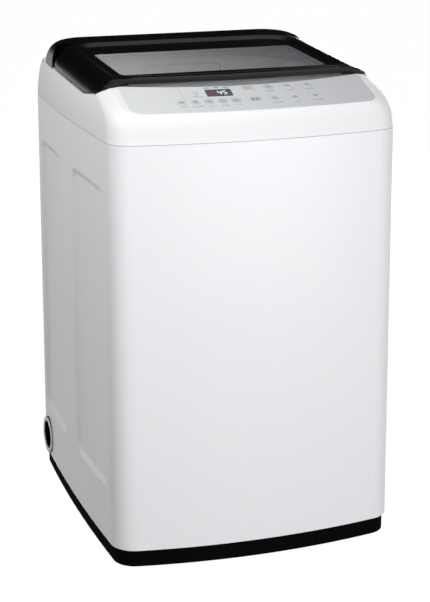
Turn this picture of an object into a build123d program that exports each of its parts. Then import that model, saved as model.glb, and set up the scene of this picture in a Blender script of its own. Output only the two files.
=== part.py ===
from build123d import *
import os
from math import asin, cos, degrees, hypot, radians, sin, sqrt, tan

os.makedirs("parts", exist_ok=True)

# Cabinet plan: size at the widest, bow of the front and the sides, corner radii
WIDTH = 540.0
DEPTH = 590.0
SIDE_BOW = 8.0
FRONT_BOW = 28.0
FRONT_CORNER_R = 47.0
REAR_CORNER_R = 10.0
REAR_SETBACK = 3.0
SHEET = 1.0

# Heights of the stack: floor gap, skirt, cabinet, seam line under the top cover
FLOOR_GAP = 8.0
BASE_HEIGHT = 32.0
CABINET_HEIGHT = 731.0
SEAM_GAP = 0.8
BASE_TOP = FLOOR_GAP + BASE_HEIGHT
SEAM_Z = BASE_TOP + CABINET_HEIGHT

# Clearances: still pieces, running shafts, loose holes
FIT = 0.3
RUN = 0.05
LOOSE = 0.6

# Panels pressed into the side walls
PRESS_DEPTH = 5.0
PRESS_BORDER = 13.0
PRESS_CORNER_R = 22.0
PRESS_RISE = 98.0
PRESS_DROP = 81.0
PRESS_FRONT_SETBACK = 74.0
PRESS_FRONT_WIDTH = 210.0
PRESS_REAR_SETBACK = 33.0
PRESS_REAR_WIDTH = 194.0

# Rear panel, its flange and screws
REAR_FLANGE = 24.0
REAR_STRIP = 30.0
REAR_LAP = 12.0
REAR_SHEET = 0.8
REAR_PRESS_WIDTH = 150.0
REAR_PRESS_OFFSET = 105.0
REAR_PRESS_MARGIN = 90.0
REAR_SCREW_ROWS = 4
SCREW_HEAD_R = 4.5
SCREW_HEAD_H = 2.2
SCREW_SHANK_R = 2.0
SCREW_LENGTH = 9.0

# Skirt
BASE_INSET = 5.0
BASE_WALL = 3.0
BASE_SHELF = 18.0
BASE_TONGUE = 6.0
CABINET_FLANGE = 12.0
FOOT_PLATE = 7.0
FOOT_PLATE_SIZE = 96.0
FOOT_INSET = 62.0

# Feet
FOOT_R = 22.0
FOOT_PAD = 11.0
FOOT_CHAMFER = 3.0
STUD_R = 5.0
NUT_HEIGHT = 6.0
NUT_R = 9.0
NUT_GAP = 2.0
STUD_ABOVE = 16.0

# Drain port on the left wall
DRAIN_REAR = 46.0
DRAIN_RISE = 38.0
DRAIN_BORE_R = 27.5
DRAIN_WALL = 3.0
DRAIN_RIM_R = 37.0
DRAIN_RIM = 3.2
DRAIN_CUP = 34.0
DRAIN_STUB_R = 14.0
DRAIN_STUB_WALL = 2.5
DRAIN_STUB = 16.0

# Top cover: rows of height above the seam, side inset, front inset, front corner radius
COVER_ROWS = (
    (0.0, 0.0, 0.0, 47.0),
    (24.0, 1.5, 1.5, 50.0),
    (44.0, 4.0, 5.0, 62.0),
    (62.0, 8.0, 19.0, 98.0),
    (80.0, 13.0, 43.0, 145.0),
    (104.0, 22.0, 80.0, 190.0),
)
COVER_WALL = 9.0
COVER_SKIN = 3.5
COVER_HOLLOW = 34.0
COVER_TONGUE = 16.0
COVER_TONGUE_WALL = 3.0

# Panel seat: a cone about the axis of the front bow
PANEL_SETBACK = 13.0
PANEL_RISE = 52.0
PANEL_SLOPE = 18.0
PANEL_RUN = 104.0
PANEL_OVERHANG = 2.0
PANEL_MARGIN = 47.0
PANEL_CORNER_R = 26.0
PANEL_THICK = 2.6

# Finger scoop under the lid lip: a shallow round trough, with an upstand behind it
SCOOP_START = 84.0
SCOOP_BOW = 26.0
SCOOP_HALF = 200.0
SCOOP_DEPTH = 10.0
SCOOP_REACH = 20.0
UPSTAND = 6.0
UPSTAND_GAP = 2.0
UPSTAND_SIDE = 8.0

# Lid plane and outline
LID_RISE = 94.0
LID_TILT = 2.6
LID_DROP = 36.0
LID_MARGIN = 11.5
LID_FRONT_GAP = 2.5
LID_GAP = 4.0
LID_SEAT_GAP = 2.0
TIP_DROP = 20.0
LID_TIP_SETBACK = 48.0
SKIRT_TURN_SETBACK = 118.0
LID_FRONT_CORNER_R = 38.0
LID_REAR_CORNER_R = 64.0
LID_WALL = 3.0
LID_NOSE_R = 8.0
RIM_HEIGHT = 5.0
RIM_SIDE = 30.0
LID_ROWS = (
    (-26.0, 2.0, 0.0, 64.0),
    (-17.0, 6.0, 0.3, 62.0),
    (-8.0, 12.5, 0.8, 59.0),
    (-1.0, 20.0, 1.3, 55.0),
    (3.5, 29.0, 1.7, 52.0),
    (5.0, 37.0, 2.0, 50.0),
)
RIM_REAR = 18.0
RIM_SLOPE = 14.0
RIM_TOP = 6.0
LIP_SWELL_HALF = 165.0
LIP_SWELL_R = 260.0
LIP_SWEEP_IN = 58.0
LIP_SWEEP_OUT = 10.0
LIP_CREST = 7.5
LIP_CREST_RUN = 24.0
LIP_RUN = 66.0
LIP_DROP = 1.0

# Lid window
WINDOW_SIDE = 64.0
WINDOW_REAR_SETBACK = 105.0
WINDOW_FRONT_SETBACK = 84.0
WINDOW_CORNER_R = 12.0
WINDOW_THICK = 4.0
WINDOW_RECESS = 0.8
WINDOW_LEDGE = 5.0

# Lid hinge
PIN_R = 3.0
PIN_LENGTH = 42.0
HINGE_X = 158.0
EAR_WIDTH = 14.0
EAR_R = 7.4
EAR_NECK = 11.0
EAR_FOOT = 26.0
EAR_FOOT_H = 4.0
EAR_SIDE_GAP = 1.0
EAR_SLOT_GAP = 1.6
BUMPER_R = 4.0
BUMPER_GAP = 0.2
BUMPER_Y = 40.0
BUMPER_INSET = 5.0

# Rear deck: rows of height above the seam and inset
DECK_DEPTH = 81.0
DECK_ROWS = (
    (50.0, 7.5),
    (72.0, 9.0),
    (86.0, 12.0),
    (98.0, 17.5),
    (107.0, 26.0),
    (113.0, 40.0),
)
DECK_CORNER_R = 50.0
DECK_WALL = 3.0
DECK_TIP = 20.0
DECK_FRONT_RISE = 2.0
DECK_CROWN_RISE = 6.5
DECK_CROWN_SETBACK = 28.0

# Lid opening of the top cover
MOUTH_MARGIN = 62.0
MOUTH_FRONT = 60.0
MOUTH_REAR = 14.0
MOUTH_CORNER_R = 70.0
MOUTH_WALL = 3.0
MOUTH_DEPTH = 36.0

# Keys and display
KEY_R = 8.6
KEY_PROUD = 1.0
KEY_GAP = 0.3
KEY_BODY = 6.0
KEY_FLANGE = 1.6
KEY_FLANGE_T = 1.6
KEY_STEM_R = 2.5
KEY_STEM = 4.0
KEY_EDGE = 0.5
SQUARE_KEY = 19.0
SQUARE_KEY_H = 16.0
SQUARE_KEY_R = 3.0
KEY_LOW_S = 32.0
KEY_HIGH_S = 72.0
WASH_KEYS_X = (-131.0, -107.0, -83.0, -59.0, -35.0)
UPPER_KEYS_X = (37.0, 73.0, 111.0)
LOWER_KEYS_X = (36.0, 73.0, 112.0)
DISPLAY_X = -56.0
DISPLAY_S = 62.0
DISPLAY_WIDTH = 46.0
DISPLAY_HEIGHT = 25.0
DISPLAY_R = 2.5
DISPLAY_PROUD = 0.2
KEY_WELL_HALF = 162.0
KEY_WELL_S = (14.0, 90.0)
BOARD_DEPTH = 18.0
BOARD_THICK = 1.6
BOARD_WIDTH = 286.0
BOARD_HEIGHT = 64.0
POST_R = 3.5
POST_INSET = 8.0
SWITCH_SIZE = 6.0
SWITCH_HEIGHT = 2.0

# Detergent drawer and its housing
DRAWER_X = 8.0
DRAWER_WIDTH = 158.0
DRAWER_HEIGHT = 56.0
DRAWER_TOP = 60.0
DRAWER_FRONT = 4.0
DRAWER_CORNER_R = 9.0
DRAWER_LAP = 6.0
TRAY_DEPTH = 62.0
TRAY_WALL = 2.0
HOUSING_WALL = 2.0
HOUSING_GAP = 0.6

# Water inlet valve, cord gland
INLET_SIDE = 102.0
INLET_RISE = 86.0
INLET_THREAD_R = 13.2
INLET_NECK_R = 12.0
INLET_BORE_R = 8.0
INLET_THREAD = 11.0
INLET_NECK = 49.0
INLET_BORE = 21.0
VALVE_R = 20.0
VALVE_LIFT = 8.0
VALVE_SETBACK = 46.0
VALVE_PIPE_R = 7.0
GLAND_SIDE = 65.0
GLAND_DROP = 70.0
GLAND_R = 11.0
GLAND_BORE_R = 4.5
GLAND_FLANGE_R = 14.0
GLAND_FLANGE = 2.0
GLAND_LENGTH = 14.0

# Hanging system
TUB_Y = 8.0
TUB_SWING = 31.0
TUB_WALL = 3.0
TUB_FLOOR = 4.0
DRIVE_ROOM = 165.0
TUB_ROOM = 81.0
COVER_RING = 22.0
COVER_RING_WALL = 3.0
ROD_X = 212.0
ROD_Y = 205.0
ROD_R = 4.0
ROD_HEAD_R = 11.0
ROD_HEAD = 8.0
BRACKET_DROP = 32.0
BRACKET_THICK = 4.0
BRACKET_SIZE = 60.0
LUG_RISE = 90.0
LUG_THICK = 14.0
LUG_R = 26.0
CUP_R = 19.0
CUP_WALL = 2.5
CUP_LENGTH = 78.0
SPRING_R = 12.5
SPRING_WIRE_R = 1.6
SPRING_TURNS = 5
ROD_PLATE_R = 15.0
ROD_PLATE = 3.0
ROD_END = 8.0

# Drum group
DRUM_GAP = 20.0
DRUM_WALL = 0.8
DRUM_LIFT = 24.0
DRUM_BASE = 2.0
RING_HEIGHT = 46.0
RING_WIDTH = 34.0
RING_TOP_GAP = 6.0
HUB_R = 70.0
HUB_ARM = 26.0
HUB_THICK = 10.0
PULSATOR_R = 160.0
PULSATOR_GAP = 8.0
PULSATOR_THICK = 5.0
PULSATOR_DOME = 26.0
PULSATOR_DOME_R = 52.0
VANES = 6
VANE_IN_R = 7.0
VANE_OUT_R = 17.0
CAP_R = 19.0
CAP_HEIGHT = 5.0
FILTER_WIDTH = 78.0
FILTER_HEIGHT = 190.0
FILTER_THICK = 10.0
FILTER_RISE = 110.0
FILTERS = 2

# Drive
SPIN_SHAFT_R = 15.0
WASH_SHAFT_R = 6.0
SEAL_R = 32.0
SEAL_HEIGHT = 12.0
PLATE_GAP = 8.0
PLATE_THICK = 4.0
PLATE_MARGIN = 22.0
CLUTCH_R = 62.0
CLUTCH_HEIGHT = 78.0
CLUTCH_WALL = 6.0
BEARING_R = 26.0
BEARING_HEIGHT = 12.0
PULLEY_R = 68.0
PULLEY_HEIGHT = 16.0
PULLEY_GAP = 10.0
PULLEY_RIM = 12.0
PULLEY_WEB = 5.0
MOTOR_PULLEY_R = 21.0
GROOVE = 8.0
BELT_THICK = 6.0
BELT_SIDE = 1.0
BELT_SEAT = 0.4
MOTOR_X = -140.0
MOTOR_R = 60.0
MOTOR_SHAFT_R = 6.0
MOTOR_FOOT = 6.0
MOTOR_FOOT_R = 9.0
MOTOR_FOOT_PITCH = 56.0

# Drain valve and inner hose
VALVE_X = -105.0
VALVE_Y = 150.0
DRAIN_VALVE_R = 26.0
DRAIN_VALVE_HEIGHT = 66.0
DRAIN_NECK_R = 18.0
HOSE_R = 17.0
HOSE_WALL = 2.5
HOSE_BEND = 34.0
HOSE_OUTLET = 24.0

# Derived places
BOW_R = ((WIDTH / 2) ** 2 + FRONT_BOW ** 2) / (2 * FRONT_BOW)
BOW_Y = BOW_R - DEPTH / 2
BOW_AXIS = Axis((0, BOW_Y, 0), (0, 0, 1))
BOW_ARC = 40.0
PANEL_RHO = BOW_R - PANEL_SETBACK
STEP_RHO = PANEL_RHO - PANEL_RUN
PANEL_HALF = WIDTH / 2 - PANEL_MARGIN
LID_RHO = STEP_RHO - LID_FRONT_GAP
LID_HALF = WIDTH / 2 - LID_MARGIN
LID_REAR = DEPTH / 2 - DECK_DEPTH
LID_FRONT = BOW_Y - LID_RHO
LID_SLOPE = tan(radians(LID_TILT))
LID_TIP_Y = LID_FRONT + LID_TIP_SETBACK
SKIRT_TURN_Y = LID_FRONT + SKIRT_TURN_SETBACK
REAR_Y = DEPTH / 2 - REAR_SETBACK
TALL = 400.0
INLET_X = INLET_SIDE - WIDTH / 2
GLAND_X = WIDTH / 2 - GLAND_SIDE
TUB_R = WIDTH / 2 - TUB_SWING
TUB_BOTTOM = BASE_TOP + DRIVE_ROOM
TUB_TOP = SEAM_Z - TUB_ROOM
DRUM_R = TUB_R - TUB_WALL - DRUM_GAP
DRUM_BOTTOM = TUB_BOTTOM + DRUM_LIFT
RING_TOP = TUB_TOP - RING_TOP_GAP
DRUM_TOP = RING_TOP - RING_HEIGHT
PLATE_TOP = TUB_BOTTOM - PLATE_GAP
CLUTCH_TOP = PLATE_TOP - PLATE_THICK
CLUTCH_BOTTOM = CLUTCH_TOP - CLUTCH_HEIGHT
PULLEY_TOP = CLUTCH_BOTTOM - PULLEY_GAP
PULLEY_BOTTOM = PULLEY_TOP - PULLEY_HEIGHT
HINGE_Y = LID_REAR - LID_NOSE_R


def lid_z(y, above=0.0):
    """Height of the lid plane at one depth."""
    return SEAM_Z + LID_RISE + y * LID_SLOPE + above


def panel_z(run):
    """Height of the panel cone at a distance back from its lower edge."""
    return SEAM_Z + PANEL_RISE + run * tan(radians(PANEL_SLOPE))


HINGE_Z = lid_z(HINGE_Y, RIM_HEIGHT) - LID_NOSE_R
LID_PLANE = Plane((0, 0, lid_z(0)), x_dir=(1, 0, 0), z_dir=(0, -LID_SLOPE, 1))


def block(x0, x1, y0, y1, z0, z1):
    """Box between two corners."""
    return Pos((x0 + x1) / 2, (y0 + y1) / 2, (z0 + z1) / 2) * Box(x1 - x0, y1 - y0, z1 - z0)


def post(radius, x, y, z0, z1):
    """Upright cylinder."""
    return Pos(x, y, (z0 + z1) / 2) * Cylinder(radius, z1 - z0)


def pipe(outer, inner, x, y, z0, z1):
    """Upright tube."""
    return post(outer, x, y, z0, z1) - post(inner, x, y, z0 - 1, z1 + 1)


def along_x(radius, x0, x1, y, z):
    """Cylinder lying along X."""
    return Pos((x0 + x1) / 2, y, z) * Rot(0, 90, 0) * Cylinder(radius, x1 - x0)


def along_y(radius, y0, y1, x, z):
    """Cylinder lying along Y."""
    return Pos(x, (y0 + y1) / 2, z) * Rot(90, 0, 0) * Cylinder(radius, y1 - y0)


def prism(face, z0, z1):
    """Face of the XY plane drawn out between two heights."""
    return Pos(0, 0, z0) * extrude(face, z1 - z0, dir=(0, 0, 1))


def polygon(points):
    """Face inside a closed run of straight lines."""
    return make_face(Polyline(*points, close=True))


def side_profile(points):
    """Bar along X with a profile of (y, z) points, wider than the machine."""
    return extrude(Plane.YZ * polygon(points), WIDTH, both=True)


def bow_turn(face):
    """Face of the YZ plane turned about the axis of the front bow, both ways from the middle."""
    return revolve(Plane.YZ * face, BOW_AXIS, BOW_ARC).rotate(BOW_AXIS, -BOW_ARC / 2)


def bow_turned(points):
    """Ring piece from (radius, height) points about the axis of the front bow."""
    return bow_turn(polygon([(BOW_Y - rho, z) for rho, z in points]))


def both_sides(shape):
    """Shape and its mirror image about the middle plane."""
    return shape + mirror(shape, Plane.YZ)


def around(shape, count, x, y, start=0.0):
    """Copies of a shape turned about an upright axis."""
    axis = Axis((x, y, 0), (0, 0, 1))
    return [shape.rotate(axis, start + 360.0 * i / count) for i in range(count)]


def plan(side=0.0, front=None, rear=None, corner=None, rear_corner=None):
    """Cabinet plan with bowed front and sides, drawn in by insets."""
    front = side if front is None else front
    rear = side if rear is None else rear
    corner = FRONT_CORNER_R - side if corner is None else corner
    half = WIDTH / 2 - side
    end = half - SIDE_BOW
    nose = -DEPTH / 2 + front
    back = REAR_Y - rear
    edges = [
        ThreePointArc((-end, back), (-half, 0), (-end, nose + FRONT_BOW)),
        ThreePointArc((-end, nose + FRONT_BOW), (0, nose), (end, nose + FRONT_BOW)),
        ThreePointArc((end, nose + FRONT_BOW), (half, 0), (end, back)),
        Line((end, back), (-end, back)),
    ]
    face = make_face(edges)
    face = fillet(face.vertices().sort_by(Axis.Y)[:2], corner)
    if rear_corner is None:
        rear_corner = max(REAR_CORNER_R - rear, 2.0) if rear < REAR_CORNER_R else REAR_CORNER_R
    return fillet(face.vertices().sort_by(Axis.Y)[-2:], rear_corner)


def side_x(y):
    """Half width of the cabinet at one depth."""
    return WIDTH / 2 - SIDE_BOW * (y / REAR_Y) ** 2


def pressing(width, height, radius, depth, border, grow):
    """Shallow tray form in the XY plane, going down, with sloped borders."""
    lead = 2.0
    spread = border * lead / depth
    wide = RectangleRounded(width + 2 * (spread + grow), height + 2 * (spread + grow), radius + spread + grow)
    deep_r = max(radius - border / 2, 2.0) + grow
    deep = RectangleRounded(width - 2 * border + 2 * grow, height - 2 * border + 2 * grow, deep_r)
    return loft([Pos(0, 0, lead - grow) * wide, Pos(0, 0, -depth - grow) * deep], ruled=True)


def side_pressings(grow):
    """The four pressings of the side walls; grow is the sheet thickness for the inner face."""
    low = BASE_TOP + PRESS_RISE
    high = SEAM_Z - PRESS_DROP
    spans = (
        (-DEPTH / 2 + PRESS_FRONT_SETBACK, PRESS_FRONT_WIDTH),
        (DEPTH / 2 - PRESS_REAR_SETBACK - PRESS_REAR_WIDTH, PRESS_REAR_WIDTH),
    )
    tools = []
    for start, width in spans:
        y = start + width / 2
        lean = 2 * SIDE_BOW * y / REAR_Y ** 2
        plane = Plane((-side_x(y), y, (low + high) / 2), x_dir=(lean, 1, 0), z_dir=(-1, lean, 0))
        tool = plane * pressing(width, high - low, PRESS_CORNER_R, PRESS_DEPTH, PRESS_BORDER, grow)
        tools += [tool, mirror(tool, Plane.YZ)]
    return tools


DRAIN_Y = REAR_Y - DRAIN_REAR
DRAIN_Z = BASE_TOP + DRAIN_RISE
DRAIN_X = -side_x(DRAIN_Y)
REAR_OPEN_X = WIDTH / 2 - SIDE_BOW - REAR_FLANGE
REAR_OPEN_LOW = BASE_TOP + REAR_STRIP
REAR_OPEN_HIGH = SEAM_Z - REAR_STRIP


def screw_places():
    """Places of the rear panel screws."""
    x = REAR_OPEN_X + REAR_LAP / 2
    low = REAR_OPEN_LOW + REAR_LAP
    step = (REAR_OPEN_HIGH - REAR_OPEN_LOW - 2 * REAR_LAP) / (REAR_SCREW_ROWS - 1)
    return [(side * x, low + step * row) for row in range(REAR_SCREW_ROWS) for side in (-1, 1)]


def make_cabinet():
    """Wrapped sheet with pressed sides, an open back and the drain hole."""
    top = SEAM_Z - SEAM_GAP
    outer = prism(plan(), BASE_TOP, top)
    inner = prism(plan(SHEET), BASE_TOP - 1, top + 1)
    outer -= side_pressings(0.0)
    inner -= side_pressings(SHEET)
    shell = outer - inner
    flange = prism(plan(SHEET / 2), BASE_TOP, BASE_TOP + SHEET)
    shell += flange - prism(plan(CABINET_FLANGE), BASE_TOP - 1, BASE_TOP + 2)
    shell -= block(-REAR_OPEN_X, REAR_OPEN_X, REAR_Y - 5, REAR_Y + 5, REAR_OPEN_LOW, REAR_OPEN_HIGH)
    shell -= along_x(DRAIN_BORE_R + DRAIN_WALL + FIT, DRAIN_X - 20, DRAIN_X + 20, DRAIN_Y, DRAIN_Z)
    shell -= [along_y(SCREW_SHANK_R + FIT, REAR_Y - 5, REAR_Y + 5, x, z) for x, z in screw_places()]
    return shell


def make_rear_panel():
    """Back sheet behind the flange with two pressings and the gland hole."""
    face = REAR_Y - SHEET
    half = REAR_OPEN_X + REAR_LAP
    low = REAR_OPEN_LOW - REAR_LAP
    high = REAR_OPEN_HIGH + REAR_LAP
    plate = block(-half, half, face - REAR_SHEET, face, low, high)
    tall = REAR_OPEN_HIGH - REAR_OPEN_LOW - 2 * REAR_PRESS_MARGIN
    for side in (-1, 1):
        plane = Plane((side * REAR_PRESS_OFFSET, face, (low + high) / 2), x_dir=(-1, 0, 0), z_dir=(0, 1, 0))
        sizes = (REAR_PRESS_WIDTH, tall, PRESS_CORNER_R, PRESS_DEPTH, PRESS_BORDER)
        plate += (plane * pressing(*sizes, REAR_SHEET)) & block(-half, half, face - 20, face, low, high)
        plate -= plane * pressing(*sizes, 0.0)
    plate -= along_y(GLAND_R + FIT, face - 5, face + 5, GLAND_X, SEAM_Z - GLAND_DROP)
    plate -= [along_y(SCREW_SHANK_R + FIT, face - 5, face + 5, x, z) for x, z in screw_places()]
    return plate


def make_rear_screws():
    """Screws of the rear panel, one group."""
    screws = []
    for x, z in screw_places():
        head = along_y(SCREW_HEAD_R, REAR_Y, REAR_Y + SCREW_HEAD_H, x, z)
        head = chamfer(head.edges().group_by(Axis.Y)[-1], SCREW_HEAD_H / 3)
        screws.append(head + along_y(SCREW_SHANK_R, REAR_Y - SCREW_LENGTH, REAR_Y, x, z))
    return screws


def foot_places():
    """Places of the feet, front pair first."""
    x = WIDTH / 2 - FOOT_INSET
    front = -DEPTH / 2 + FRONT_BOW + FOOT_INSET
    back = REAR_Y - FOOT_INSET
    return [(-x, front), (x, front), (-x, back), (x, back)]


PLATE_LOW = FOOT_PAD + NUT_GAP + NUT_HEIGHT
PLATE_HIGH = PLATE_LOW + FOOT_PLATE


def make_base():
    """Skirt with a shelf under the cabinet, a tongue inside it and four corner plates for the feet."""
    skirt = prism(plan(BASE_INSET), FLOOR_GAP, BASE_TOP)
    skirt -= prism(plan(BASE_INSET + BASE_WALL), FLOOR_GAP - 1, BASE_TOP + 1)
    shelf = prism(plan(BASE_INSET), BASE_TOP - BASE_WALL, BASE_TOP)
    shelf -= prism(plan(BASE_SHELF), BASE_TOP - BASE_WALL - 1, BASE_TOP + 1)
    tongue = prism(plan(CABINET_FLANGE + FIT), BASE_TOP - 1, BASE_TOP + BASE_TONGUE)
    tongue -= prism(plan(BASE_SHELF), BASE_TOP - 2, BASE_TOP + BASE_TONGUE + 1)
    inside = prism(plan(BASE_INSET + 0.5), FLOOR_GAP, BASE_TOP)
    body = skirt + shelf
    for x, y in foot_places():
        sx = 1 if x > 0 else -1
        sy = 1 if y > 0 else -1
        ends_x = sorted((sx * WIDTH, x - sx * FOOT_PLATE_SIZE / 2))
        ends_y = sorted((sy * DEPTH, y - sy * FOOT_PLATE_SIZE / 2))
        body += block(*ends_x, *ends_y, PLATE_LOW, PLATE_HIGH) & inside
        web_x = sorted((sx * WIDTH, x - sx * FOOT_PLATE_SIZE / 2))
        web_y = sorted((y - sy * FOOT_PLATE_SIZE / 2, y - sy * (FOOT_PLATE_SIZE / 2 - BASE_WALL)))
        body += block(*web_x, *web_y, PLATE_LOW, BASE_TOP - BASE_WALL + 0.5) & inside
    body += tongue
    for x, y in foot_places():
        body -= post(STUD_R + RUN * 2, x, y, 0, BASE_TOP + 20)
    return body


def make_foot(x, y):
    """Levelling foot: pad and stud."""
    pad = post(FOOT_R, x, y, 0, FOOT_PAD)
    pad = chamfer(pad.edges().group_by(Axis.Z)[-1], FOOT_CHAMFER)
    return pad + post(STUD_R, x, y, FOOT_PAD, PLATE_HIGH + STUD_ABOVE)


def make_rear_feet():
    """Fixed rear pads, pushed up to the base, one group."""
    feet = []
    for x, y in foot_places()[2:]:
        pad = post(FOOT_R, x, y, 0, PLATE_LOW)
        pad = chamfer(pad.edges().group_by(Axis.Z)[0], FOOT_CHAMFER)
        feet.append(pad + post(STUD_R, x, y, PLATE_LOW, PLATE_HIGH + STUD_ABOVE / 2))
    return feet


def make_lock_nuts():
    """Lock nuts of the front feet under the corner plates, one group."""
    nuts = []
    for x, y in foot_places()[:2]:
        nut = Pos(x, y, PLATE_LOW - NUT_HEIGHT) * extrude(RegularPolygon(NUT_R, 6), NUT_HEIGHT)
        nuts.append(nut - post(STUD_R + RUN * 2, x, y, 0, PLATE_HIGH))
    return nuts


def make_drain_port():
    """Rim on the wall, a deep cup behind it and the inner hose stub."""
    face = DRAIN_X
    rim = along_x(DRAIN_RIM_R, face - DRAIN_RIM, face + DRAIN_RIM, DRAIN_Y, DRAIN_Z)
    rim = chamfer(rim.edges().group_by(Axis.X)[0], DRAIN_RIM / 3)
    rim -= prism(plan(-FIT / 2), BASE_TOP - 40, SEAM_Z)
    cup = along_x(DRAIN_BORE_R + DRAIN_WALL, face - DRAIN_RIM / 2, face + DRAIN_CUP, DRAIN_Y, DRAIN_Z)
    end = face + DRAIN_CUP
    stub = along_x(DRAIN_STUB_R, end, end + DRAIN_STUB, DRAIN_Y, DRAIN_Z)
    body = rim + cup + stub
    body -= along_x(DRAIN_BORE_R, face - 20, end - DRAIN_WALL, DRAIN_Y, DRAIN_Z)
    body -= along_x(DRAIN_STUB_R - DRAIN_STUB_WALL, end - 10, end + 40, DRAIN_Y, DRAIN_Z)
    return body


def cover_body():
    """Outer form of the top cover before its top is shaped."""
    rows = []
    for rise, side, front, corner in COVER_ROWS:
        rows.append(Pos(0, 0, SEAM_Z + rise) * plan(side, front, side, corner))
    return loft(rows)


def above_panel(rise):
    """Space over the panel cone in front of the lid step."""
    drop = (PANEL_SETBACK + 60) * tan(radians(PANEL_SLOPE))
    foot = PANEL_RHO + PANEL_SETBACK + 60
    return bow_turned([
        (foot, panel_z(0) - drop + rise),
        (STEP_RHO, panel_z(PANEL_RUN) + rise),
        (STEP_RHO, SEAM_Z + TALL),
        (foot, SEAM_Z + TALL),
    ])


def shelf_profile(rise):
    """Upper side of the shelf as (y, z) points, front to rear."""
    front = lid_z(LID_FRONT - 30, -TIP_DROP - LID_SEAT_GAP + rise)
    tip = lid_z(LID_TIP_Y, -TIP_DROP - LID_SEAT_GAP + rise)
    turn = lid_z(SKIRT_TURN_Y, -LID_DROP + rise)
    rear = lid_z(DEPTH, -LID_DROP + rise)
    return [(LID_FRONT - 30, front), (LID_TIP_Y, tip), (SKIRT_TURN_Y, turn), (DEPTH, rear)]


def above_shelf(rise):
    """Space over the shelf behind the lid step."""
    points = shelf_profile(rise) + [(DEPTH, SEAM_Z + TALL), (LID_FRONT - 30, SEAM_Z + TALL)]
    return side_profile(points) & post(STEP_RHO, 0, BOW_Y, SEAM_Z - TALL, SEAM_Z + 2 * TALL)


def scoop(drop):
    """Round trough for the fingers, open to the rear under the lip."""
    radius = (SCOOP_HALF ** 2 + SCOOP_BOW ** 2) / (2 * SCOOP_BOW)
    start_y = -DEPTH / 2 + PANEL_SETBACK + SCOOP_START
    axis = Axis((0, start_y + radius, 0), (0, 0, 1))
    start_z = panel_z(SCOOP_START) - drop
    run = PANEL_RUN - SCOOP_START
    floor_z = start_z - SCOOP_DEPTH
    edges = [
        ThreePointArc(
            (start_y, start_z),
            (start_y + run * 0.35, start_z - SCOOP_DEPTH * 0.6),
            (start_y + run, floor_z),
        ),
        Line((start_y + run, floor_z), (start_y + 3 * run, floor_z)),
        Line((start_y + 3 * run, floor_z), (start_y + 3 * run, SEAM_Z + TALL)),
        Line((start_y + 3 * run, SEAM_Z + TALL), (start_y, SEAM_Z + TALL)),
        Line((start_y, SEAM_Z + TALL), (start_y, start_z)),
    ]
    arc = 2 * degrees(asin(WIDTH / 2 / radius))
    tool = revolve(Plane.YZ * make_face(edges), axis, arc).rotate(axis, -arc / 2)
    return tool & block(-WIDTH, WIDTH, -DEPTH, LID_FRONT + SCOOP_REACH, SEAM_Z, SEAM_Z + TALL)


def cover_form(drop=0.0):
    """Outer form of the top cover with panel cone, shelf and scoop, lowered by a drop."""
    form = cover_body() - above_panel(-drop) - above_shelf(-drop)
    return form - scoop(drop)


def panel_column(grow):
    """Upright column over the panel outline."""
    half = PANEL_HALF + grow
    low = PANEL_RHO + PANEL_OVERHANG + grow
    high = STEP_RHO - 30
    left = [(-half, BOW_Y - sqrt(low ** 2 - half ** 2)), (0, BOW_Y - low)]
    top = BOW_Y - high
    edges = [
        ThreePointArc(left[0], left[1], (half, left[0][1])),
        Line((half, left[0][1]), (half, top)),
        Line((half, top), (-half, top)),
        Line((-half, top), left[0]),
    ]
    face = make_face(edges)
    face = fillet(face.vertices().sort_by(Axis.Y)[:2], PANEL_CORNER_R + grow)
    column = prism(face, SEAM_Z, SEAM_Z + TALL)
    rear = post(STEP_RHO - 4 * grow, 0, BOW_Y, SEAM_Z - 1, SEAM_Z + TALL + 1)
    return column - rear


def mouth(grow, z0, z1):
    """Column of the lid opening."""
    half = LID_HALF - MOUTH_MARGIN + grow
    front = LID_FRONT + MOUTH_FRONT - grow
    back = LID_REAR - MOUTH_REAR + grow
    face = Pos(0, (front + back) / 2) * RectangleRounded(2 * half, back - front, MOUTH_CORNER_R + grow)
    return prism(face, z0, z1)


MOUTH_Y = LID_REAR - MOUTH_REAR
DRAWER_Z1 = SEAM_Z + DRAWER_TOP
DRAWER_Z0 = DRAWER_Z1 - DRAWER_HEIGHT
TRAY_HALF = DRAWER_WIDTH / 2 - DRAWER_LAP
TRAY_Z0 = DRAWER_Z0 + DRAWER_LAP
TRAY_Z1 = DRAWER_Z1 - DRAWER_LAP
TRAY_Y0 = MOUTH_Y - FIT
TRAY_Y1 = TRAY_Y0 + TRAY_DEPTH


def tray_space(grow, y0, y1):
    """Space of the drawer tray, grown all round."""
    return block(
        DRAWER_X - TRAY_HALF - grow, DRAWER_X + TRAY_HALF + grow, y0, y1, TRAY_Z0 - grow, TRAY_Z1 + grow)


def key_well(z0, z1):
    """Window under the panel for the keys and their board."""
    y0 = -DEPTH / 2 + PANEL_SETBACK + KEY_WELL_S[0]
    y1 = -DEPTH / 2 + PANEL_SETBACK + KEY_WELL_S[1]
    return block(-KEY_WELL_HALF, KEY_WELL_HALF, y0, y1, z0, z1)


def upstand():
    """Rib of the top cover under the lid lip, behind the finger scoop."""
    front = LID_RHO - SCOOP_REACH
    back = front - UPSTAND
    top = lid_z(BOW_Y - front, -LID_WALL - UPSTAND_GAP)
    foot = lid_z(BOW_Y - front, -TIP_DROP - LID_SEAT_GAP) - COVER_SKIN / 2
    ring = bow_turned([(front, foot), (back, foot), (back, top), (front, top)])
    half = LID_HALF - RIM_SIDE - UPSTAND_SIDE
    return ring & block(-half, half, -DEPTH, 0, SEAM_Z, SEAM_Z + TALL)


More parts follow.
